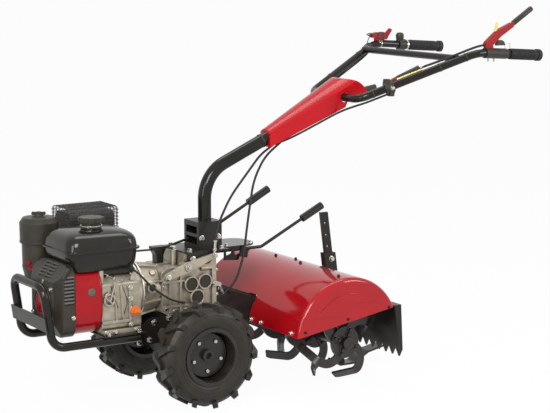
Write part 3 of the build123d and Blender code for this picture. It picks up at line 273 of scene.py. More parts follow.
finish("brass", ("#D9C98C", "#CBB97A"), 8, (0.2, 0.32), 0.8, 0.008, 0.5, metallic=1.0)
finish("black_oxide_steel", ("#4E4A46", "#3C3935"), 10, (0.3, 0.45), 0.8, 0.01, 0.5, metallic=1.0)
finish("hot_steel", ("#211F1D", "#2F2A26"), 30, (0.4, 0.6), 1.5, 0.05, 0.6, shine=0.4)
print(len(finishes), "finishes in all")

# %% [markdown]
# ## Which solid has which finish
# A solid keeps its mesh and only gets a material. The solids could be dressed one by one, but a list
# that reads like a paint shop's order shows at a glance what belongs together.

# %% Dress the solids
WEARS = {
    "die_cast_aluminium": "crankcase cylinder bell_housing gearbox_case clutch_arm intake",
    "hood_enamel": "tiller_hood",
    "cover_abs": "handle_cover",
    "blower_enamel": "blower_housing",
    "lever_enamel": "clutch_lever throttle_lever",
    "orange_nylon": "oil_plug",
    "moulded_polypropylene": "recoil_cover fuel_cap air_cleaner stop_switch gearbox_plugs reverse_lever "
                             "handle_lock clutch_clamp",
    "tank_enamel": "fuel_tank",
    "tube_powder_coat": "bumper_frame handle_column handlebar_left handlebar_right handlebar_brace "
                        "gate_plate",
    "black_powder_coat": "bumper_plate engine_bed handle_saddle handle_socket gear_lever tiller_lever "
                         "selector_lever hood_bracket leveling_flap depth_bracket depth_bar",
    "black_casting_paint": "final_drive_case drive_arm",
    "grip_rubber": "grip_left grip_right clutch_cable shift_cable throttle_cable",
    "tyre_rubber": "tyre_left tyre_right",
    "wheel_enamel": "rim_left rim_right hub_left hub_right",
    "ground_steel": "axle_left axle_right",
    "tine_paint": "tiller_rotor",
    "hot_steel": "muffler muffler_guard",
}
for kind, names in WEARS.items():
    for name in names.split():
        mesh = nodes[name].data
        mesh.materials.clear()
        mesh.materials.append(finishes[kind])
undressed = [name for name in nodes if name not in " ".join(WEARS.values()).split()]
print("dressed", len(nodes) - len(undressed), "solids, left over:", undressed)

# %% [markdown]
# ## Shapes from rings
# Screws, springs and knobs could each start from a ready-made cylinder. All of them are skins stretched
# between rings of points, though, so one short function makes the skin, and the others only say where
# the rings lie: turned about an axis, as a band, along a wire, wound as a spring, or as a flat plate.

# %% Skins and turned shapes


def skin(bm, loops, capped=True):
    """Faces between rings of points, with flat ends."""
    rows = [[bm.verts.new(point) for point in loop] for loop in loops]
    for low, high in zip(rows, rows[1:]):
        for i in range(len(low)):
            j = (i + 1) % len(low)
            bm.faces.new((low[i], low[j], high[j], high[i]))
    if capped:
        bm.faces.new(list(reversed(rows[0])))
        bm.faces.new(rows[-1])


def sideways(axis):
    """Two directions across an axis."""
    u = axis.orthogonal().normalized()
    return u, axis.cross(u).normalized()


def turned(bm, at, axis, profile, sides=20, turn=0.0, capped=True):
    """Shape turned about an axis from millimetres of radius and height."""
    axis = Vector(axis).normalized()
    u, v = sideways(axis)
    angles = [turn + 2 * pi * i / sides for i in range(sides)]
    skin(bm, [[Vector(at) + axis * h * MM + (u * cos(a) + v * sin(a)) * r * MM for a in angles]
              for r, h in profile], capped)


def hoop(bm, at, axis, radius_mm, high_mm, wide_mm, sides=40):
    """Flat band round an axis, open in the middle, that stands so high over its radius."""
    foot, top, half = radius_mm - 1, radius_mm + high_mm, wide_mm / 2
    turned(bm, at, axis, [(foot, -half), (top - 0.3, -half), (top, -half + 0.4), (top, half - 0.4),
                          (top - 0.3, half), (foot, half), (foot, -half)], sides, capped=False)


print("skins, turned shapes and bands")

# %% Wires, springs and plates
SPRING_STEPS = 10


def wire(bm, points, radius_mm, sides=6):
    """Round wire past points, in metres."""
    points = [Vector(p) for p in points]
    runs = [(b - a).normalized() for a, b in zip(points, points[1:])]
    ways = [runs[0]] + [(a + b).normalized() for a, b in zip(runs, runs[1:])] + [runs[-1]]
    u = sideways(ways[0])[0]
    loops = []
    for point, way in zip(points, ways):
        u = (u - way * u.dot(way)).normalized()
        v = way.cross(u)
        loops.append([point + (u * cos(a) + v * sin(a)) * radius_mm * MM
                      for a in (2 * pi * i / sides for i in range(sides))])
    skin(bm, loops)


def spring(bm, start, end, radius_mm, turns, wire_mm):
    """Wire wound between two points."""
    run = end - start
    u, v = sideways(run.normalized())
    angles = [2 * pi * i / SPRING_STEPS for i in range(turns * SPRING_STEPS + 1)]
    wire(bm, [start + run * a / angles[-1] + (u * cos(a) + v * sin(a)) * radius_mm * MM for a in angles],
         wire_mm, 5)


def plate(bm, corners, thick):
    """Flat plate from its corners, in metres, and the way and depth of its thickness."""
    skin(bm, [corners, [corner + thick for corner in corners]])


print("wires, springs and plates")

# %% [markdown]
# ## Screw heads and finished pieces
# A screw shows its hexagon head and its washer. The thread is hidden, so it is left out. A hexagon's
# corners lie its width across the flats, over the root of three, from its middle. The last function turns
# any finished mesh into a piece: smooth up to a crease, with its finish, riding on a body.

# %% Screws and pieces
ROOT_OF_THREE, HEAD_SHARE, HEX_TURN = 1.732, 0.62, 0.3
WASHER_WIDE, WASHER_THICK, SUNK = 1.25, 1.6, 0.5


def bolt(bm, at, axis, flats_mm, washer=True):
    """Hexagon screw head with a chamfered top, on its washer."""
    r, seat_mm = flats_mm / ROOT_OF_THREE, 0.0
    if washer:
        turned(bm, at, axis, [(r * WASHER_WIDE, -SUNK), (r * WASHER_WIDE, 1.3), (r * 1.18, WASHER_THICK)], 24)
        seat_mm = WASHER_THICK
    high = seat_mm + flats_mm * HEAD_SHARE
    turned(bm, at, axis, [(r, seat_mm - SUNK), (r, high - r * 0.16), (r * 0.84, high)], 6, HEX_TURN)


def piece(name, bm, kind, body, crease=32):
    """Object from a mesh, smooth up to a crease angle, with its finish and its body."""
    bmesh.ops.remove_doubles(bm, verts=bm.verts, dist=1e-6)
    bmesh.ops.recalc_face_normals(bm, faces=bm.faces)
    mesh = bpy.data.meshes.new(name)
    bm.to_mesh(mesh)
    bm.free()
    mesh.shade_smooth()
    mesh.set_sharp_from_angle(angle=radians(crease))
    mesh.materials.append(finishes[kind])
    made = bpy.data.objects.new(name, mesh)
    bpy.context.scene.collection.objects.link(made)
    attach(made, body)
    print(name, len(mesh.polygons), "faces")
    return made


print("a head is", HEAD_SHARE, "of its width across the flats high")

# %% [markdown]
# ## Seats on the solids
# A screw has to sit on what it holds. Its height could be typed in, but then it would float or sink
# when the solid changes. So a line is shot at the solid and the hit gives the seat. The line comes
# either from a plain side of the machine, or from the camera through a pixel of the photograph, which
# is the easiest way to point at a small thing that only the photograph shows.

# %% Where a line meets a solid
FROM_LEFT, FROM_RIGHT, FROM_ABOVE = Vector((0, -1, 0)), Vector((0, 1, 0)), Vector((0, 0, -1))
FROM_FRONT, FROM_BEHIND = Vector((-1, 0, 0)), Vector((1, 0, 0))
skins = {}


def hit(name, start, way):
    """Where a line first meets a solid, and which way the skin faces there."""
    if name not in skins:
        mesh = nodes[name].data
        skins[name] = BVHTree.FromPolygons([v.co for v in mesh.vertices], [p.vertices for p in mesh.polygons])
    at, out, _, _ = skins[name].ray_cast(start, way.normalized())
    if at is None:
        raise ValueError("the line misses " + name)
    return at, out


def seat(name, place, way):
    """Seat on a solid by a place in millimetres, looked at along a direction from outside."""
    return hit(name, spot(*place) - way.normalized(), way)[0]


def seen(name, px, py):
    """Seat on a solid at a pixel of the photograph, and which way the skin faces there."""
    scale = SENSOR_MM / LENS_MM / PHOTO_WIDE
    ray = Vector(((px - PHOTO_WIDE / 2) * scale, (PHOTO_HIGH / 2 - py) * scale, -1))
    return hit(name, CAMERA_AT, camera.rotation_euler.to_matrix() @ ray)


print("over the rotor the hood is", round(hit("tiller_hood", ROTOR + UP, FROM_ABOVE)[0].z, 3), "metres high")

# %% [markdown]
# ## Screws
# One table lists the screws as a fitter would: which set, which solid, how wide across the flats, from
# which side, and where. The two coordinates across the line matter, and the seat finds the third. Sets
# of screws that lie on a circle or along the arm are worked out first.

# %% Circles of screws
CRANK_HEIGHT, AXLE_HEIGHT = 331, 155
BELL_CIRCLE, BELL_COUNT, BELL_TURN = 82, 8, 10
FINAL_CIRCLE, FINAL_TURNS = 33, (100, 150, 200, 250, 300)
ARM_FOOT, ARM_RUN, ARM_ACROSS = (-124, 287), (-354, -151), (-0.392, 0.92)
ARM_HALF, ARM_SPREAD = 25, 14


def round_bell(n):
    """Place on the bell's circle of screws."""
    angle = radians(360 / BELL_COUNT * n + BELL_TURN)
    return (0, BELL_CIRCLE * sin(angle), CRANK_HEIGHT + BELL_CIRCLE * cos(angle))


def round_final(turn):
    """Place on the final drive's circle of screws."""
    angle = radians(turn)
    return (FINAL_CIRCLE * cos(angle), 0, AXLE_HEIGHT + FINAL_CIRCLE * sin(angle))


def along_arm(share, edge):
    """Place at a share of the drive arm's run, by its upper edge, 1, or its lower edge, -1."""
    across = edge * (ARM_HALF + ARM_SPREAD * share)
    x, z = (foot + run * share + way * across for foot, run, way in zip(ARM_FOOT, ARM_RUN, ARM_ACROSS))
    return (x, 0, z)


BELL_SCREWS = [round_bell(n) for n in range(BELL_COUNT)]
FINAL_SCREWS = [round_final(turn) for turn in FINAL_TURNS]
ARM_SCREWS = [along_arm(share, edge) for share in (0.16, 0.4, 0.64, 0.88) for edge in (1, -1)]
print(len(BELL_SCREWS), "screws behind the bell, and a side", len(FINAL_SCREWS), "on the final drive and",
      len(ARM_SCREWS), "on the arm")

# %% Screw table
CYLINDER_TILT = radians(25)
FROM_HEAD = Vector((0, cos(CYLINDER_TILT), -sin(CYLINDER_TILT)))
LEFT_SIDE, RIGHT_SIDE, BOTH_SIDES = (FROM_LEFT,), (FROM_RIGHT,), (FROM_LEFT, FROM_RIGHT)
FRONT, BACK, TOP, HEAD = (FROM_FRONT,), (FROM_BEHIND,), (FROM_ABOVE,), (FROM_HEAD,)
SCREWS = [
    ("engine_screws", "crankcase", 10, LEFT_SIDE, [(189.5, 0, 249), (189.5, 0, 325), (189.5, 0, 358)]),
    ("engine_screws", "crankcase", 9, LEFT_SIDE, [(268, 0, 232), (241, 0, 232), (172, 0, 232)]),
    ("engine_screws", "crankcase", 9, RIGHT_SIDE, [(268, 0, 232), (172, 0, 232), (189.5, 0, 300)]),
    ("engine_screws", "crankcase", 9, TOP, [(253, 73, 0), (234, 80, 0), (174, 74, 0)]),
    ("engine_screws", "recoil_cover", 9, LEFT_SIDE, [(375, 0, 290)]),
    ("engine_screws", "recoil_cover", 9, RIGHT_SIDE, [(375, 0, 290), (375, 0, 380)]),
    ("engine_screws", "recoil_cover", 8, FRONT, [(0, y, z) for z in (372, 286) for y in (64, -64)]),
    ("engine_screws", "cylinder", 9, HEAD, [(x, y, z) for x in (172.5, 269.5)
                                            for y, z in ((-158.6, 454.6), (-196.7, 373.0))]),
    ("engine_screws", "cylinder", 9, HEAD, [(x, y, z) for x in (187, 255)
                                            for y, z in ((-213.0, 399.4), (-186.8, 455.6))]),
    ("drive_screws", "bell_housing", 10, BACK, BELL_SCREWS),
    ("drive_screws", "gearbox_case", 9, LEFT_SIDE, [(60, 0, 272), (60, 0, 338), (26, 0, 262), (-12, 0, 264)]),
    ("drive_screws", "gearbox_case", 9, RIGHT_SIDE, [(60, 0, 272), (60, 0, 376), (10, 0, 262),
                                                     (-40, 0, 262), (-90, 0, 300), (10, 0, 385)]),
    ("drive_screws", "gearbox_case", 10, BACK, [(0, y, z) for y in (70, -70) for z in (300, 376)]),
    ("drive_screws", "clutch_arm", 13, LEFT_SIDE, [(64, 0, 373)]),
    ("drive_screws", "gearbox_case", 17, TOP, [(6, 22, 0)]),
    ("drive_screws", "clutch_arm", 11, LEFT_SIDE, [(-6, 0, 396), (-97, 0, 424)]),
    ("drive_screws", "drive_arm", 10, BACK, [(0, y, z) for y in (52, -52) for z in (264, 312)]),
    ("drive_screws", "final_drive_case", 9, BOTH_SIDES, FINAL_SCREWS),
    ("arm_screws", "drive_arm", 8, BOTH_SIDES, ARM_SCREWS),
    ("frame_screws", "engine_bed", 12, BOTH_SIDES, [(146, 0, 180), (112, 0, 186), (47, 0, 244),
                                                    (96, 0, 236)]),
    ("frame_screws", "engine_bed", 10, TOP, [(x, y, 0) for x in (166, 266) for y in (109, -109)]),
    ("frame_screws", "handle_socket", 12, BOTH_SIDES, [(-80, 0, 470), (-138, 0, 470)]),
    ("frame_screws", "handle_saddle", 12, TOP, [(x, y * s, 0) for x, y in ((-30, 60), (-138, 62))
                                                for s in (1, -1)]),
    ("frame_screws", "handle_saddle", 14, BOTH_SIDES, [(-30, 0, 415)]),
    ("frame_screws", "handle_saddle", 11, BACK, [(0, y, z) for y in (44, -44) for z in (345, 396)]),
    ("frame_screws", "gate_plate", 10, TOP, [(-258, 32, 0), (-168, 40, 0), (-168, -62, 0)]),
    ("tiller_screws", "tiller_hood", 10, FRONT, [(0, y * s, 198) for y in (34, 90, 263) for s in (1, -1)]),
    ("tiller_screws", "depth_bracket", 13, BOTH_SIDES, [(-572, 0, 352)]),
    ("hood_rivets", "tiller_hood", 6, BOTH_SIDES, [(-284, 0, 204.5), (-437.5, 0, 226.8), (-588.5, 0, 247)]),
    ("hood_rivets", "tiller_hood", 8, TOP, [(-447, -121, 0), (-447, 24, 0), (-474, -45, 0), (-474, 112, 0),
                                            (-429, 264, 0), (-429, -264, 0)]),
    ("hood_rivets", "leveling_flap", 9, TOP, [(-624, y, 0) for y in (-230, -90, 90, 230)]),
]
DARK_SETS = ("arm_screws", "hood_rivets")
sets = {}
for name, solid, flats, ways, places in SCREWS:
    if name not in sets:
        sets[name] = bmesh.new()
    for way in ways:
        for place in places:
            bolt(sets[name], seat(solid, place, way), -way, flats)
for name, bm in sets.items():
    kind, slot = ("black_powder_coat", "black_steel") if name in DARK_SETS else ("zinc_plate", "bare_steel")
    piece(name, bm, kind, "chassis")

# %% [markdown]
# ## Wire basket over the muffler
# The guard is welded from thin wire in squares of about a centimetre. A picture with holes would look
# flat from the side, so real wires are drawn: arches over the top both ways, and rings round it, all in
# the solid's own box.

# %% Muffler guard
GUARD_MESH, GUARD_WIRE, GUARD_BEND, GUARD_INSET = 10.5, 0.95, 7.0, 1.0
ARCH_MARGIN, ARCH_LAP = 6 * MM, 1.2 * MM
RING_FOOT, RING_HEAD = 3 * MM, 11 * MM
WIRE_SIDES = 5
inset = Vector((1, 1, 1)) * GUARD_INSET * MM
low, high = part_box("muffler_guard")
low, high = low + inset, high - inset


def steps(a, b, pitch_mm):
    """Even places from a to b, about a pitch apart."""
    count = max(1, round((b - a) / (pitch_mm * MM)))
    return [a + (b - a) * i / count for i in range(count + 1)]


def arch(a, b, foot, top):
    """Bent line up from a foot, over a top with round corners and down again."""
    r = GUARD_BEND * MM
    bends = [(a + r * (1 - cos(t)), top - r * (1 - sin(t))) for t in (0, pi / 6, pi / 3, pi / 2)]
    return [(a, foot)] + bends + [(a + b - p, q) for p, q in reversed(bends)] + [(b, foot)]


bm = bmesh.new()
for x in steps(low.x + ARCH_MARGIN, high.x - ARCH_MARGIN, GUARD_MESH):
    wire(bm, [(x, y, z) for y, z in arch(low.y, high.y, low.z, high.z)], GUARD_WIRE, WIRE_SIDES)
for y in steps(low.y + ARCH_MARGIN, high.y - ARCH_MARGIN, GUARD_MESH):
    bent = arch(low.x, high.x, low.z + ARCH_LAP, high.z)
    wire(bm, [(x, y, z - ARCH_LAP) for x, z in bent], GUARD_WIRE, WIRE_SIDES)
ring = [(low.x, low.y), (high.x, low.y), (high.x, high.y), (low.x, high.y), (low.x, low.y)]
for z in steps(low.z + RING_FOOT, high.z - RING_HEAD, GUARD_MESH):
    wire(bm, [(x, y, z) for x, y in ring], GUARD_WIRE, WIRE_SIDES)
guard = piece("muffler_wire_basket", bm, "hot_steel", "chassis")
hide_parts("muffler_guard")

# %% [markdown]
# ## Wheels
# Five zinc-plated screws hold each wheel to its hub. Moulded rings run round the tyre's walls, and a
# new tyre still carries the thin rubber hairs that the mould's vents leave. Their feet are found on the
# tyre itself, so that none hangs between the lugs. All of them turn, so they ride on the wheel's body.

# %% Screws, rings and hairs of a wheel
BOLT_CIRCLE, BOLT_COUNT, BOLT_FLATS, DISC_FACE = 95.0, 5, 11, 7.0
WALL_RINGS, RING_RELIEF, RING_SIDES = (97.0, 106.0, 124.0), 0.8, 72
HAIR_COUNT, HAIR_SHIFT, HAIR_PLACE, HAIR_LENGTH, HAIR_RADIUS = 26, 0.35, 43.0, 9.0, 0.5
CLEAR_OF_TYRE = 300 * MM


def wheel_screws(side, middle, out):
    """Screws on a circle round the hub, the first below it."""
    bm = bmesh.new()
    for n in range(BOLT_COUNT):
        angle = radians(360 * n / BOLT_COUNT - 90)
        arm = Vector((cos(angle), 0, sin(angle))) * BOLT_CIRCLE / 2 * MM
        bolt(bm, middle + arm + out * DISC_FACE * MM, out, BOLT_FLATS, washer=False)
    piece("wheel_screws_" + side, bm, "zinc_plate", "wheel_" + side)


def tyre_rings(side, middle, out):
    """Low moulded rings on both walls of a tyre."""
    bm = bmesh.new()
    h = RING_RELIEF
    for way in (out, -out):
        for r in WALL_RINGS:
            beside_wall = middle + Vector((r * MM, 0, 0)) + way * CLEAR_OF_TYRE
            wall = hit("tyre_" + side, beside_wall, -way)[0]
            foot = middle + way * (wall - middle).dot(way)
            turned(bm, foot, way, [(r - 2 * h, -h), (r - h, h), (r + h, h), (r + 2 * h, -h), (r - 2 * h, -h)],
                   RING_SIDES, capped=False)
    piece("tyre_rings_" + side, bm, "tyre_rubber", "wheel_" + side, 60)


def tyre_hairs(side, middle, out):
    """Thin hairs of rubber round the outer shoulder, at uneven steps, each leaning its own way."""
    bm = bmesh.new()
    for n in range(HAIR_COUNT):
        angle = 2 * pi * (n + HAIR_SHIFT * (n % 3)) / HAIR_COUNT
        radial = Vector((cos(angle), 0, sin(angle)))
        above = middle + radial * CLEAR_OF_TYRE + out * HAIR_PLACE * MM
        foot = hit("tyre_" + side, above, -radial)[0] - radial * MM
        lean = (out + radial.cross(out) * sin(5 * n)).normalized()
        wire(bm, [foot, foot + lean * (HAIR_LENGTH + n % 4) * MM], HAIR_RADIUS, 4)
    piece("tyre_hairs_" + side, bm, "tyre_rubber", "wheel_" + side)


for side, sign in (("left", 1), ("right", -1)):
    middle = Vector((AXLE.x, sign * AXLE.y, AXLE.z))
    out = Vector((0, sign, 0))
    wheel_screws(side, middle, out)
    tyre_rings(side, middle, out)
    tyre_hairs(side, middle, out)

# %% [markdown]
# ## Tine screws
# Each tine is held to its flange by two screws, with the head on the tine and the nut on the flange.
# One loop sets them all, since every flange carries its tines at even turns. They ride on the rotor.
# Each flange is given by its distance from the middle, the turn of its first tine, and the side on which
# its tines lie: 1 for outwards.

# %% Screws on the rotor
FLANGES = ((66, 33, 1), (226, 66, -1))
TINES, TINE_FACE, FLANGE_FACE = 4, 7.5, 4.0
TINE_SCREW_PLACES, TINE_SCREW_FLATS = (26, 41), 12
bm = bmesh.new()
for y, phase, facing in FLANGES:
    for n in range(TINES):
        turn = radians(360 * n / TINES + phase)
        for r in TINE_SCREW_PLACES:
            for side in (1, -1):
                at = ROTOR + Vector((r * cos(turn), side * y, -r * sin(turn))) * MM
                out = Vector((0, side * facing, 0))
                bolt(bm, at + out * TINE_FACE * MM, out, TINE_SCREW_FLATS, washer=False)
                bolt(bm, at - out * FLANGE_FACE * MM, -out, TINE_SCREW_FLATS)
piece("tine_screws", bm, "black_oxide_steel", "rotor")

# %% [markdown]
# ## Engine trim
# Small things give an engine its scale: the bright ring under the fuel cap and a small one on the
# starter's cover, the filter's black wing knob and bands, the pull handle of the starter, a rubber plug
# in the red housing, and the levers for choke and fuel beside the filter. Nearly all are round, so they
# are turned, and the wings are plates.

# %% Bright rings
NECK, CAP_FOOT = (272, 15), 537
STARTER_RING = (0, 5, 386)
bm = bmesh.new()
hoop(bm, spot(*NECK, CAP_FOOT), UP, 30, 2.4, 3)
hoop(bm, seat("recoil_cover", STARTER_RING, FROM_FRONT), -FROM_FRONT, 3, 2.5, 3, 20)
piece("engine_rings", bm, "ground_steel", "chassis")

# %% Filter knob and bands, pull handle and a plug
FILTER, KNOB_HEIGHT = (355, -168), 549
FILTER_BANDS = ((472, 56, 2.2, 7), (398, 50, 2.0, 5))
WING_WAY, WING_HALF = Vector((0.85, -0.53, 0)), 4
WING = ((4, 0), (19, 1), (22, 5), (19, 10), (4, 9))
PULL, PULL_WAY = spot(404, 99, 403), Vector((-0.42, 0.1, 0.9))
BELL_PLUG = spot(110, 78, 345)
bm = bmesh.new()
knob = spot(*FILTER, KNOB_HEIGHT)
turned(bm, knob, UP, [(13, -6), (13, 0), (11, 7), (8, 10), (3, 11)], 24)
for way in (WING_WAY, -WING_WAY):
    across = way.cross(UP) * WING_HALF * MM
    plate(bm, [knob + way * d * MM + UP * h * MM - across for d, h in WING], across * 2)
for height, radius, high, wide in FILTER_BANDS:
    hoop(bm, spot(*FILTER, height), UP, radius, high, wide, 56)
turned(bm, PULL, PULL_WAY, [(4, 0), (7.5, 2), (8.5, 8), (7.6, 19), (8.5, 30), (7.5, 36), (3, 38)], 20)
turned(bm, BELL_PLUG, LEFT, [(10.8, -1), (10.8, 4), (9, 5.5)], 28)
piece("engine_black_trim", bm, "moulded_polypropylene", "chassis")

# %% Rubber plug, red levers and starter disc
HOUSING_PLUG, STARTER_DISC = (317, 0, 359), spot(428, 0, 323)
CHOKE_PIXEL, FUEL_PIXEL = (30.6, 268.9), (29.6, 262.7)
CHOKE_REACH, FUEL_REACH = -18, 15
LEVER_FOOT, LEVER_THICK = 3.5, 2.5
bm = bmesh.new()
plug = seat("blower_housing", HOUSING_PLUG, FROM_LEFT)
turned(bm, plug, LEFT, [(12, -1), (12, 1.6), (10, 3.4), (5, 4.2)], 28)
piece("blower_plug", bm, "grey_rubber", "chassis")

bm = bmesh.new()
for pixel, reach in ((CHOKE_PIXEL, CHOKE_REACH), (FUEL_PIXEL, FUEL_REACH)):
    at, out = seen("air_cleaner", *pixel)
    along = out.cross(UP).normalized()
    turned(bm, at, out, [(6, -1), (6, 4), (4.5, 6)], 16)
    plate(bm, [at + out * LEVER_FOOT * MM + (along * reach * s + UP * h) * MM
               for s, h in ((0, -4), (0.9, -3), (1, 0), (0.9, 3), (0, 4))], out * LEVER_THICK * MM)
turned(bm, STARTER_DISC, -FROM_FRONT, [(35, -1), (35, 1.6), (33, 2.4), (20, 2.4), (18, 4), (10, 4.6)], 48)
piece("engine_red_trim", bm, "lever_enamel", "chassis")

# %% [markdown]
# ## Louvers
# The engine draws its cooling air through slots in the starter's cover, and a low bar beside each slot
# catches the light. A bump pattern would vanish at a slant, so the bars are real wedges, on the sloping
# top and on the near wall, at the pitch of the solid's slots. Their grey, lighter than the cover's black,
# is a painted highlight.

# %% Bars between the slots
LOUVER_PITCH = 10.5
WEDGE = ((-2.4, -1), (-2.4, 1.8), (-1.2, 2.4), (2.6, 0.4), (2.6, -1))
SLOPE_MIDDLE = spot(403.5, 0, 415.5)
SLOPE_OUT, SLOPE_UP = Vector((0.767, 0, 0.642)), Vector((-0.642, 0, 0.767))
SLOPE_ROWS, SLOPE_FIRST, SLOPE_COLUMNS, SLOPE_HALF = 5, -1.5, (-21, 21), 18
WALL_X, WALL_Y, WALL_FOOT, WALL_ROWS, WALL_BAR = 372, 103, 7.4, 8, 30
WALL_FIRST = -0.3
bm = bmesh.new()
for row in range(SLOPE_ROWS):
    for column in SLOPE_COLUMNS:
        middle = SLOPE_MIDDLE + (SLOPE_UP * LOUVER_PITCH * (row + SLOPE_FIRST) + LEFT * column) * MM
        plate(bm, [middle + (SLOPE_UP * u + SLOPE_OUT * h - LEFT * SLOPE_HALF) * MM for u, h in WEDGE],
              LEFT * 2 * SLOPE_HALF * MM)
for row in range(WALL_ROWS):
    middle = spot(WALL_X, WALL_Y, CRANK_HEIGHT + LOUVER_PITCH * (row + WALL_FIRST) + WALL_FOOT)
    plate(bm, [middle + (UP * u + LEFT * h) * MM for u, h in WEDGE], Vector((WALL_BAR * MM, 0, 0)))
# Painted highlight: the bars are a lighter grey than the black plastic they stand on.
piece("louver_bars", bm, "painted_highlight_polypropylene", "chassis")

# %% [markdown]
# ## Fuel tank
# The tank is pressed from two shells that meet in a rolled seam. Pressed sheet has no hard edges. A box
# with a subdivision modifier would round them, but would also shrink. So the tank is drawn as rings of
# a rounded rectangle: straight walls, a lip at the seam, and a dome. It stands where the solid stands,
# with its skirt lifted clear of the engine's covers. Each level below is a height, with 0 at the skirt,
# 1 at the seam and 2 at the top, and how far the ring lies inside the largest plan.

# %% Tank's plan and skirt
TANK_AT, TANK_HALF, TANK_CORNER = (268, 0.5), (117, 105.5), 36
TANK_LOW, TANK_SEAM, TANK_TOP = 416, 474, 530
QUARTERS, CORNER_STEPS = ((1, 1), (-1, 1), (-1, -1), (1, -1)), 12
FAN_FROM, STARTER_FROM, COVER_GAP = 272, 367, 1.5
FAN_CORNER, STARTER_CORNER = (78, 27, 358), (40, 63, 400)


def rounded_plan(inset, corner):
    """Points round a rectangle with round corners, and so far inside the tank's largest plan."""
    a, b = TANK_HALF[0] - inset, TANK_HALF[1] - inset
    r = min(corner, b - 1)
    points = []
    for quarter, (sx, sy) in enumerate(QUARTERS):
        for i in range(CORNER_STEPS):
            angle = pi / 2 * (quarter + i / (CORNER_STEPS - 1))
            points.append((TANK_AT[0] + sx * (a - r) + r * cos(angle),
                           TANK_AT[1] + sy * (b - r) + r * sin(angle)))
    return points


def skirt(x, y):
    """Lowest height of the tank's wall, over the fan's housing and the starter's cover."""
    if x < FAN_FROM:
        return TANK_LOW
    radius, flat, middle = FAN_CORNER if x < STARTER_FROM else STARTER_CORNER
    reach = min(max(abs(y) - flat, 0), radius)
    return max(TANK_LOW, middle + (radius ** 2 - reach ** 2) ** 0.5 + COVER_GAP)


def tank_point(x, y, level):
    """Point of the tank's skin over a place of its plan."""
    low = skirt(x, y)
    if level < 1:
        return spot(x, y, low + (TANK_SEAM - low) * level)
    return spot(x, y, TANK_SEAM + (TANK_TOP - TANK_SEAM) * (level - 1))


print("plan of", len(rounded_plan(0, TANK_CORNER)), "points, skirt at", skirt(*TANK_AT), "mm behind the fan")

# %% Tank as smooth rings
TANK_LEVELS = ((0.0, 13), (0.12, 9.5), (0.35, 6.5), (0.7, 4.6), (0.93, 4),
               (0.95, -1.6), (1.0, -2), (1.05, -1.6),
               (1.07, 3.2), (1.25, 4.2), (1.45, 6), (1.6, 9.5), (1.72, 15), (1.82, 23),
               (1.9, 34), (1.96, 48), (2.0, 70))
TANK_FLOOR, TANK_FLOOR_INSET, TANK_FLOOR_CORNER = 446, 18, 30
NECK_FOOT = 526
bm = bmesh.new()
under = [spot(x, y, TANK_FLOOR) for x, y in rounded_plan(TANK_FLOOR_INSET, TANK_FLOOR_CORNER)]
rings = [[tank_point(x, y, level) for x, y in rounded_plan(inset, TANK_CORNER + inset / 3)]
         for level, inset in TANK_LEVELS]
skin(bm, [under] + rings)
turned(bm, spot(*NECK, NECK_FOOT), UP, [(31, 0), (30, 3), (30, 13), (28, 14)], 40)
tank = piece("pressed_tank", bm, "tank_enamel", "chassis", 40)
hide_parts("fuel_tank")

# %% [markdown]
# ## Crankcase and gearbox details
# On the near side of the crankcase a flat governor arm leaves its eye and reaches up to a thin spring.
# A round boss carries the tank, and two brighter rings on the bell housing's flange are a painted
# highlight. The joint of the crankcase and its cover shows as a dark line of gasket, and a second dark
# line is painted shadow in the gap between two ribs. A line in the material would need an unwrapped
# surface, so each is a thin wire that follows the casting through the photograph's pixels. A black plate
# under the tank is painted shade, where the tank's shadow falls on the crankcase.

# %% Cast bosses, and rings of painted highlight on the flange
TANK_BOSS, TANK_BOSS_LENGTH = spot(277, 84, 376), 41
CASE_BOSS, CASE_BOSS_LENGTH = spot(-62, 68, 384), 37
BOSS_RADIUS = 8
GOVERNOR_EYE = ((258, 96, 349), (266, 97, 346), (270, 97.5, 339), (265, 97.5, 331), (248, 97.5, 316))
BELL_BOSS_PIXEL, BELL_BOSS_WAY = (152, 273.5), Vector((0, 0.67, 0.74))
FLANGE_RADIUS, FLANGE_EDGES = 87, (139.6, 150.4)
bm = bmesh.new()
turned(bm, TANK_BOSS, UP, [(BOSS_RADIUS, 0), (BOSS_RADIUS, TANK_BOSS_LENGTH)], 24)
wire(bm, [spot(*p) for p in GOVERNOR_EYE], 2.6, 8)
turned(bm, CASE_BOSS, FROM_FRONT, [(BOSS_RADIUS, 0), (BOSS_RADIUS, CASE_BOSS_LENGTH)], 20)
bell_boss = seen("bell_housing", *BELL_BOSS_PIXEL)[0]
turned(bm, bell_boss, BELL_BOSS_WAY, [(9, -4), (9, 5), (7.5, 6.5)], 20)
piece("cast_bosses", bm, "die_cast_aluminium", "chassis")

# Painted highlight: two rings of brighter aluminium stand in for the light on the flange's edges.
bm = bmesh.new()
for x in FLANGE_EDGES:
    hoop(bm, spot(x, 0, CRANK_HEIGHT), FROM_FRONT, FLANGE_RADIUS, 4.0, 4.2, 72)
piece("bell_flange_painted_highlight_rings", bm, "painted_highlight_aluminium", "chassis")

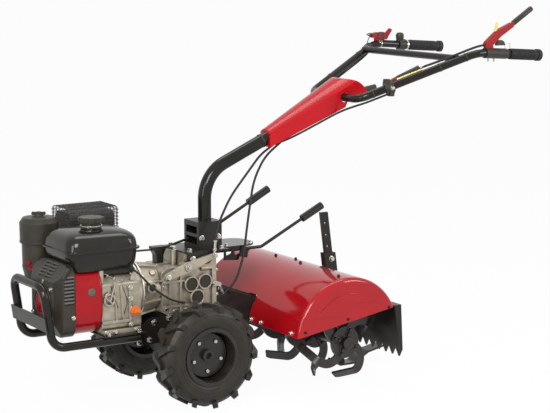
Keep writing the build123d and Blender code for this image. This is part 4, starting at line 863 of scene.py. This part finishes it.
# %% Governor, springs and cable adjusters
GOVERNOR_Y, SPRING_LUG_Y, CASE_LUG_Y = 98.2, 90, 76.2
GOVERNOR_ARM = ((253, 322), (258, 322), (240, 378), (236, 377))
SPRING_LUG = ((186, 378), (170, 378), (170, 398), (182, 398))
CASE_LUG = ((-98, 326), (-98, 340), (-112, 340), (-128, 334), (-128, 326))
ARM_TIP, SPRING_END = spot(238, 99, 376), spot(182, 88, 386)
GOVERNOR_ROD = ((238, 99, 376), (246, 96, 392), (262, 90, 402), (284, 84, 408))
LUG_SCREW, LUG_TIP, LUG_ANCHOR = spot(-104, 79.2, 333), spot(-122, 78, 327), spot(-140, 69, 297)
ADJUSTER, ADJUSTER_WAY = spot(-97.2, 91, 430), Vector((-3, 0, 38))
ADJUSTER_PROFILE = [(4.8, 0), (4.8, 8), (7, 8), (7, 14), (4.8, 14), (4.8, 34), (6.4, 34), (6.4, 39),
                    (4.4, 40)]


def upright(bm, y, outline, thick_mm):
    """Plate that stands along the machine, from its outline of forward and up."""
    plate(bm, [spot(x, y, z) for x, z in outline], Vector((0, thick_mm * MM, 0)))


bm = bmesh.new()
upright(bm, GOVERNOR_Y, GOVERNOR_ARM, 2)
spring(bm, ARM_TIP, SPRING_END, 2.6, 9, 0.6)
upright(bm, SPRING_LUG_Y, SPRING_LUG, 2)
wire(bm, [spot(*p) for p in GOVERNOR_ROD], 1.0, 6)
upright(bm, CASE_LUG_Y, CASE_LUG, 3)
bolt(bm, LUG_SCREW, LEFT, 10)
spring(bm, LUG_TIP, LUG_ANCHOR, 3.6, 7, 0.8)
turned(bm, ADJUSTER, ADJUSTER_WAY, ADJUSTER_PROFILE, 12)
piece("governor_and_adjusters", bm, "ground_steel", "chassis")

# %% A gasket, a line of painted shadow, and a sheet of painted shade under the tank
COVER_JOINT_PIXELS = ((121.4, 282.8), (123.6, 289), (126.6, 298.5), (127.0, 303), (125.4, 309.5),
                      (122.5, 318.5))
RIB_SHADOW_PIXELS = ((110.6, 286.5), (113, 293), (115.6, 300.5), (118.2, 308))
GASKET_AND_SHADOW_RADIUS = 1.1
SHADE_SHEET_LOW, SHADE_SHEET_HIGH = 401, 414
SHADE_SHEET = ((168, -60), (272, -60), (272, 86), (168, 86))
bm = bmesh.new()
# One wire is the cover's dark gasket joint; the other, in the gap between two ribs, is painted shadow.
for pixels in (COVER_JOINT_PIXELS, RIB_SHADOW_PIXELS):
    wire(bm, [seen("crankcase", *pixel)[0] for pixel in pixels], GASKET_AND_SHADOW_RADIUS, 6)
piece("case_gasket_and_painted_shadow", bm, "black_powder_coat", "chassis")

# Painted shade: a black plate under the tank, where the tank's shadow falls on the crankcase.
bm = bmesh.new()
plate(bm, [spot(x, y, SHADE_SHEET_LOW) for x, y in SHADE_SHEET], UP * (SHADE_SHEET_HIGH - SHADE_SHEET_LOW) * MM)
piece("painted_shade_under_tank", bm, "black_powder_coat", "chassis")

# %% [markdown]
# ## Along the handlebars
# Everything on the bars is placed by its distance along them: on the sloping run by its share between
# the two bends, and on the level run by millimetres behind the upper bend. One sign chooses the side, 1
# for the left and -1 for the right. That is easier to check than a place in the room.

# %% Places on the bars
BAR_LOW, BAR_BEND, BAR_END = (-588, 133, 869.2), (-938, 277, 1009), (-1197, 257, 991)
BAR_RADIUS, GRIP_RADIUS = 12.5, 16.5


def bar_spot(place, side):
    """Place on the left or the right bar, from a place on the left one."""
    return spot(place[0], side * place[1], place[2])


def on_slope(side, share, across=0.0, rise=0.0):
    """Place on the sloping run, moved across towards the middle and up by millimetres."""
    low, bend = bar_spot(BAR_LOW, side), bar_spot(BAR_BEND, side)
    return low.lerp(bend, share) + Vector((0, -side * across, rise)) * MM


def slope_way(side):
    """Direction of the sloping run, upwards."""
    return on_slope(side, 1) - on_slope(side, 0)


def grip_way(side):
    """Direction of the level run, to the rear."""
    return (bar_spot(BAR_END, side) - bar_spot(BAR_BEND, side)).normalized()


def on_grip(side, distance, rise=0.0):
    """Place on the level run, so many millimetres behind the upper bend."""
    return bar_spot(BAR_BEND, side) + grip_way(side) * distance * MM + UP * rise * MM


print("the sloping runs are", round(slope_way(1).length, 3), "metres long")

# %% [markdown]
# ## Ribbed grips
# The rubber grips are moulded with fine rings so that wet gloves don't slip. A bump would do from afar,
# but the outline of a grip shows its ribs, so each ring is a low band round the solid's own sleeve.

# %% Grip rings
RING_START, RING_PITCH, RING_COUNT = 140, 6.0, 17
bm = bmesh.new()
for side in (1, -1):
    for n in range(RING_COUNT):
        hoop(bm, on_grip(side, RING_START + RING_PITCH * n), grip_way(side), GRIP_RADIUS, 0.9, 3.0, 32)
piece("grip_rings", bm, "grip_rubber", "chassis", 50)

# %% [markdown]
# ## Sleeves, tabs and clamps
# The clutch lever ends in a black dipped sleeve and has a yellow safety tab. The second lever has a
# black sleeve too, a red ferrule and a brass adjuster. The throttle is a red body with black bands. Each
# part is turned or cut from a plate, and is placed from the lever or the bar that carries it.

# %% Where the controls are
LEVER, THROTTLE = on_grip(1, 38), on_grip(-1, 8)
LEVER_NECK, LEVER_TIP = LEVER + Vector((-92, 0, 83)) * MM, LEVER + Vector((-175, 0, 134)) * MM
REVERSE_LOW, REVERSE_HIGH = on_slope(1, 0.33, 21, 8), on_slope(1, 0.54, 22, 16)
REVERSE_WAY = REVERSE_HIGH - REVERSE_LOW


def beside(at, x, z, y=0.0):
    """Place so many millimetres forward, up and left of another."""
    return at + Vector((x, y, z)) * MM


def slab(bm, at, points, half_mm):
    """Plate that stands along the machine, with half its thickness to each side of a place."""
    plate(bm, [beside(at, x, z, -half_mm) for x, z in points], Vector((0, 2 * half_mm * MM, 0)))


print("clutch lever", round((LEVER_TIP - LEVER).length, 3), "metres from clamp to tip")

# %% Black sleeves, clamps and bands
STOP_SWITCH = on_grip(-1, 100)
STOP_DOME = [(12.2, 16), (13.6, 22), (14, 30), (12.5, 36), (8, 39.5), (3, 40.5)]
THROTTLE_BANDS = (((-24, 11.2), (-15, 11.8), (-15, 37), (-24, 37.4)),
                  ((-4, 15.0), (5, 16.2), (5, 36.4), (-4, 36.8)))
HUB_X, HUB_Z, HUB_RADIUS, HUB_STEPS = -52, 22, 17, 10
bm = bmesh.new()
run = LEVER_TIP - LEVER_NECK
length = run.length / MM
turned(bm, LEVER_NECK, run, [(7.6, 12), (8.8, 14), (8.8, length - 3), (8, length + 1), (4, length + 3)], 24)
length = REVERSE_WAY.length / MM
turned(bm, REVERSE_LOW, REVERSE_WAY,
       [(9.4, 11), (10.6, 13), (10.6, length - 1), (9.4, length + 2), (4, length + 3)], 24)
half_turn = [pi * i / HUB_STEPS for i in range(HUB_STEPS + 1)]
slab(bm, LEVER, [(HUB_X + HUB_RADIUS * cos(a), HUB_Z + HUB_RADIUS * sin(a)) for a in half_turn], 5)
for share, rise in ((0.235, 1), (0.27, -1)):
    slab(bm, on_slope(1, share), [(-9, 15 * rise), (9, 15 * rise), (7, 29 * rise), (-7, 29 * rise)], 9)
for band in THROTTLE_BANDS:
    slab(bm, THROTTLE, band, 10.8)
turned(bm, beside(THROTTLE, 19, 27), Vector((1, 0, 0.05)), [(8.4, 0), (7.4, 4), (4, 9), (2.6, 14)], 18)
turned(bm, STOP_SWITCH, UP, STOP_DOME, 28)
hoop(bm, on_slope(-1, 0.9), slope_way(-1), BAR_RADIUS, 3.5, 16)
piece("control_sleeves", bm, "moulded_polypropylene", "chassis")

# %% Red ferrule, yellow tab and brass rod
SAFETY_TAB = ((-28, 66), (-37, 66), (-43, 90), (-40, 94), (-34, 92))
ROD_LOW, ROD_HIGH = on_slope(1, 0.33, 6, 13), on_slope(1, 0.53, 2, 15)
ROD_RADIUS = 3.4
bm = bmesh.new()
turned(bm, REVERSE_LOW, REVERSE_WAY, [(6, -8), (9.4, -6), (9.8, 0), (9.8, 11), (8, 12)], 20)
piece("control_red", bm, "lever_enamel", "chassis")

bm = bmesh.new()
slab(bm, LEVER, SAFETY_TAB, 2.2)
piece("lever_tab", bm, "yellow_nylon", "chassis")

bm = bmesh.new()
run = ROD_HIGH - ROD_LOW
turned(bm, ROD_LOW, run, [(ROD_RADIUS, 0), (ROD_RADIUS, run.length / MM)], 14)
piece("adjuster_rod", bm, "brass", "chassis")

# %% Bright parts of the controls
LEVER_CLIP = ((-72, 12), (-72, 27), (-92, 27), (-92, 12))
CLAMP_SCREWS, CLAMP_BOLT = (44, 68), on_slope(1, 0.255, -17, 0)
GRIP_COLLARS = ((14, 3, 1.2), (22, 3, 1.2), (126, 7, 4.0))
SLOPE_COLLARS = (0.84, 0.88)
bm = bmesh.new()
turned(bm, REVERSE_HIGH, REVERSE_WAY, [(6.5, 2), (6.5, 9), (4.6, 10), (4.6, 18)], 14)
wire(bm, [beside(LEVER, x, z) for x, z in LEVER_CLIP], 1.3, 6)
for distance in CLAMP_SCREWS:
    turned(bm, on_grip(1, distance, -15), -UP, [(3, 0), (3, 9), (2, 11)], 12)
for distance, wide, high in GRIP_COLLARS:
    hoop(bm, on_grip(-1, distance), grip_way(-1), BAR_RADIUS, high, wide)
for share in SLOPE_COLLARS:
    hoop(bm, on_slope(-1, share), slope_way(-1), BAR_RADIUS, 1.4, 4)
bolt(bm, CLAMP_BOLT, LEFT, 10)
piece("control_bright_parts", bm, "zinc_plate", "chassis")

# %% [markdown]
# ## Cables along the bars
# The control cables are tied to the bars all the way, so they are held, not free. A chain of cylinders
# would show its joints. A curve with a round section doesn't: it is a smooth NURBS line whose few
# control points follow the bar that carries it.

# %% Held cables


def held_cable(name, points, radius_mm, kind):
    """Cable as a smooth curve with a round section."""
    curve = bpy.data.curves.new(name, "CURVE")
    curve.dimensions, curve.bevel_depth, curve.bevel_resolution = "3D", radius_mm * MM, 3
    curve.resolution_u, curve.use_fill_caps = 6, True
    spline = curve.splines.new("NURBS")
    spline.points.add(len(points) - 1)
    for point, place in zip(spline.points, points):
        point.co = (*place, 1.0)
    spline.order_u, spline.use_endpoint_u = 3, True
    curve.materials.append(finishes[kind])
    made = bpy.data.objects.new(name, curve)
    bpy.context.scene.collection.objects.link(made)
    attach(made, "chassis")
    print(name, "past", len(points), "points")


CLUTCH_ROUTE = [
    beside(LEVER, 4, 26), beside(LEVER, 24, 24), on_slope(1, 0.96, 2, 20), on_slope(1, 0.84, 4, 19),
    on_slope(1, 0.72, 8, 18), on_slope(1, 0.62, 16, 17), on_slope(1, 0.56, 21, 16.5)]
REVERSE_ROUTE = [
    on_slope(1, 0.30, -2, -19), on_slope(1, 0.2, -4, -18), on_slope(1, 0.06, -2, -19), spot(-575, 106, 842),
    spot(-560, 62, 824), spot(-500, 50, 795), spot(-440, 42, 768), spot(-390, 32, 746), spot(-360, 10, 733)]
THROTTLE_WIRE_ROUTE = [
    beside(THROTTLE, 32, 28), beside(THROTTLE, 48, 29), on_slope(-1, 0.95, -2, 44), on_slope(-1, 0.9, -2, 28),
    on_slope(-1, 0.87, 0, 17), on_slope(-1, 0.865, 0, 12)]
THROTTLE_ROUTE = [
    on_slope(-1, 0.9, 8, -10), on_slope(-1, 0.8, 10, -14), on_slope(-1, 0.6, 11, -14),
    on_slope(-1, 0.4, 10, -14), on_slope(-1, 0.2, 10, -14), on_slope(-1, 0.08, 14, -12)]
held_cable("clutch_cable_on_bar", CLUTCH_ROUTE, 3.6, "grip_rubber")
held_cable("reverse_cable_on_bar", REVERSE_ROUTE, 3.2, "grip_rubber")
held_cable("throttle_wire", THROTTLE_WIRE_ROUTE, 1.5, "grey_rubber")
held_cable("throttle_cable_on_bar", THROTTLE_ROUTE, 2.8, "grip_rubber")

# %% Ties round bars, column and cables
BAR_TIES = ((1, 0.9), (1, 0.68), (1, 0.12), (-1, 0.74), (-1, 0.3))
COLUMN_RISE, COLUMN_RADIUS, COLUMN_TIE = radians(23.7), 20.5, spot(-318, 0, 744.7)
bm = bmesh.new()
for side, share in BAR_TIES:
    hoop(bm, on_slope(side, share), slope_way(side), BAR_RADIUS, 1.0, 4)
hoop(bm, COLUMN_TIE, Vector((-cos(COLUMN_RISE), 0, sin(COLUMN_RISE))), COLUMN_RADIUS, 1.2, 6)
piece("cable_ties", bm, "moulded_polypropylene", "chassis")

# %% [markdown]
# ## Floor and light
# The photograph has a bright white sweep with barely a shadow. More lamps would make the floor white,
# but would wash out the enamel. So the floor and the sky are white only to the eye, through the light
# path, and the floor keeps a faint shadow. It is matt paper, without shine, and slightly cloudy where
# its fibres lie closer, in patches of about 4 mm. Four large soft boxes draw the long highlights that
# the enamel and the tank show, and an even sky fills the rest at a plain level.

# %% White to the eye


def looked_at(tree):
    """One where a ray comes straight from the eye, or by way of a mirror or glass."""
    path = add(tree, "LightPath")
    eye = add(tree, "Math", {"operation": "MAXIMUM"},
              {0: path.outputs["Is Camera Ray"], 1: path.outputs["Is Glossy Ray"]})
    return add(tree, "Math", {"operation": "MAXIMUM"},
               {0: eye.outputs[0], 1: path.outputs["Is Transmission Ray"]}).outputs[0]


print("floor and sky ask who looks")

# %% Floor
FLOOR_HALF, FLOOR_GLOW, FIBRE_MM = 30.0, 0.96, 4
floor_mesh = bpy.data.meshes.new("floor")
floor_mesh.from_pydata([(x * FLOOR_HALF, y * FLOOR_HALF, 0) for x, y in ((-1, -1), (1, -1), (1, 1), (-1, 1))],
                       [], [(0, 1, 2, 3)])
floor = bpy.data.objects.new("floor", floor_mesh)
bpy.context.scene.collection.objects.link(floor)
paper, tree, shader, place = begin("white_paper")
fibre = add(tree, "TexNoise", {"Scale": per_metre(FIBRE_MM)}, {"Vector": place})
shade = add(tree, "MapRange", {"To Min": 0.86, "To Max": 0.9}, {"Value": fibre.outputs["Fac"]})
tree.links.new(shade.outputs["Result"], shader.inputs["Base Color"])
shader.inputs["Roughness"].default_value = 0.9
shader.inputs["Specular IOR Level"].default_value = 0.0
glow = add(tree, "Emission", {"Color": (1, 1, 1, 1), "Strength": 1.0})
share = add(tree, "Math", {"operation": "MULTIPLY", 1: FLOOR_GLOW}, {0: looked_at(tree)})
mixed = add(tree, "MixShader", {}, {0: share.outputs[0], 1: shader.outputs[0], 2: glow.outputs[0]})
tree.links.new(mixed.outputs[0], tree.nodes["Material Output"].inputs["Surface"])
floor_mesh.materials.append(paper)
print("floor", 2 * FLOOR_HALF, "metres wide")

# %% Sky
SKY_LEVEL = 0.3
world = bpy.data.worlds.new("studio")
bpy.context.scene.world = world
world.use_nodes = True
tree = world.node_tree
sky = tree.nodes["Background"]
sky.inputs["Color"].default_value = (1, 1, 1, 1)
level = add(tree, "MapRange", {"To Min": SKY_LEVEL, "To Max": 1.0}, {"Value": looked_at(tree)})
tree.links.new(level.outputs["Result"], sky.inputs["Strength"])
print("sky lights at", SKY_LEVEL)

# %% Soft boxes, each with its place, its size in metres and its watts
SOFT_BOXES = {
    "key": ((2.2, 2.6, 2.4), (1.4, 1.4), 100),
    "top": ((-0.4, -0.4, 3.0), (2.6, 0.8), 30),
    "side": ((-2.4, 3.0, 1.8), (1.1, 1.6), 50),
    "front": ((3.3, 1.5, 1.3), (0.8, 1.6), 30),
}
AIM = Vector((0, 0, 0.4))
for name, (at, size, watts) in SOFT_BOXES.items():
    lamp = bpy.data.lights.new(name, "AREA")
    lamp.shape, lamp.size, lamp.size_y, lamp.energy = "RECTANGLE", size[0], size[1], watts
    box = bpy.data.objects.new(name, lamp)
    box.location = at
    box.rotation_euler = (AIM - Vector(at)).to_track_quat("-Z", "Y").to_euler()
    bpy.context.scene.collection.objects.link(box)
bpy.context.scene.view_settings.view_transform = "Standard"
print(len(SOFT_BOXES), "soft boxes")
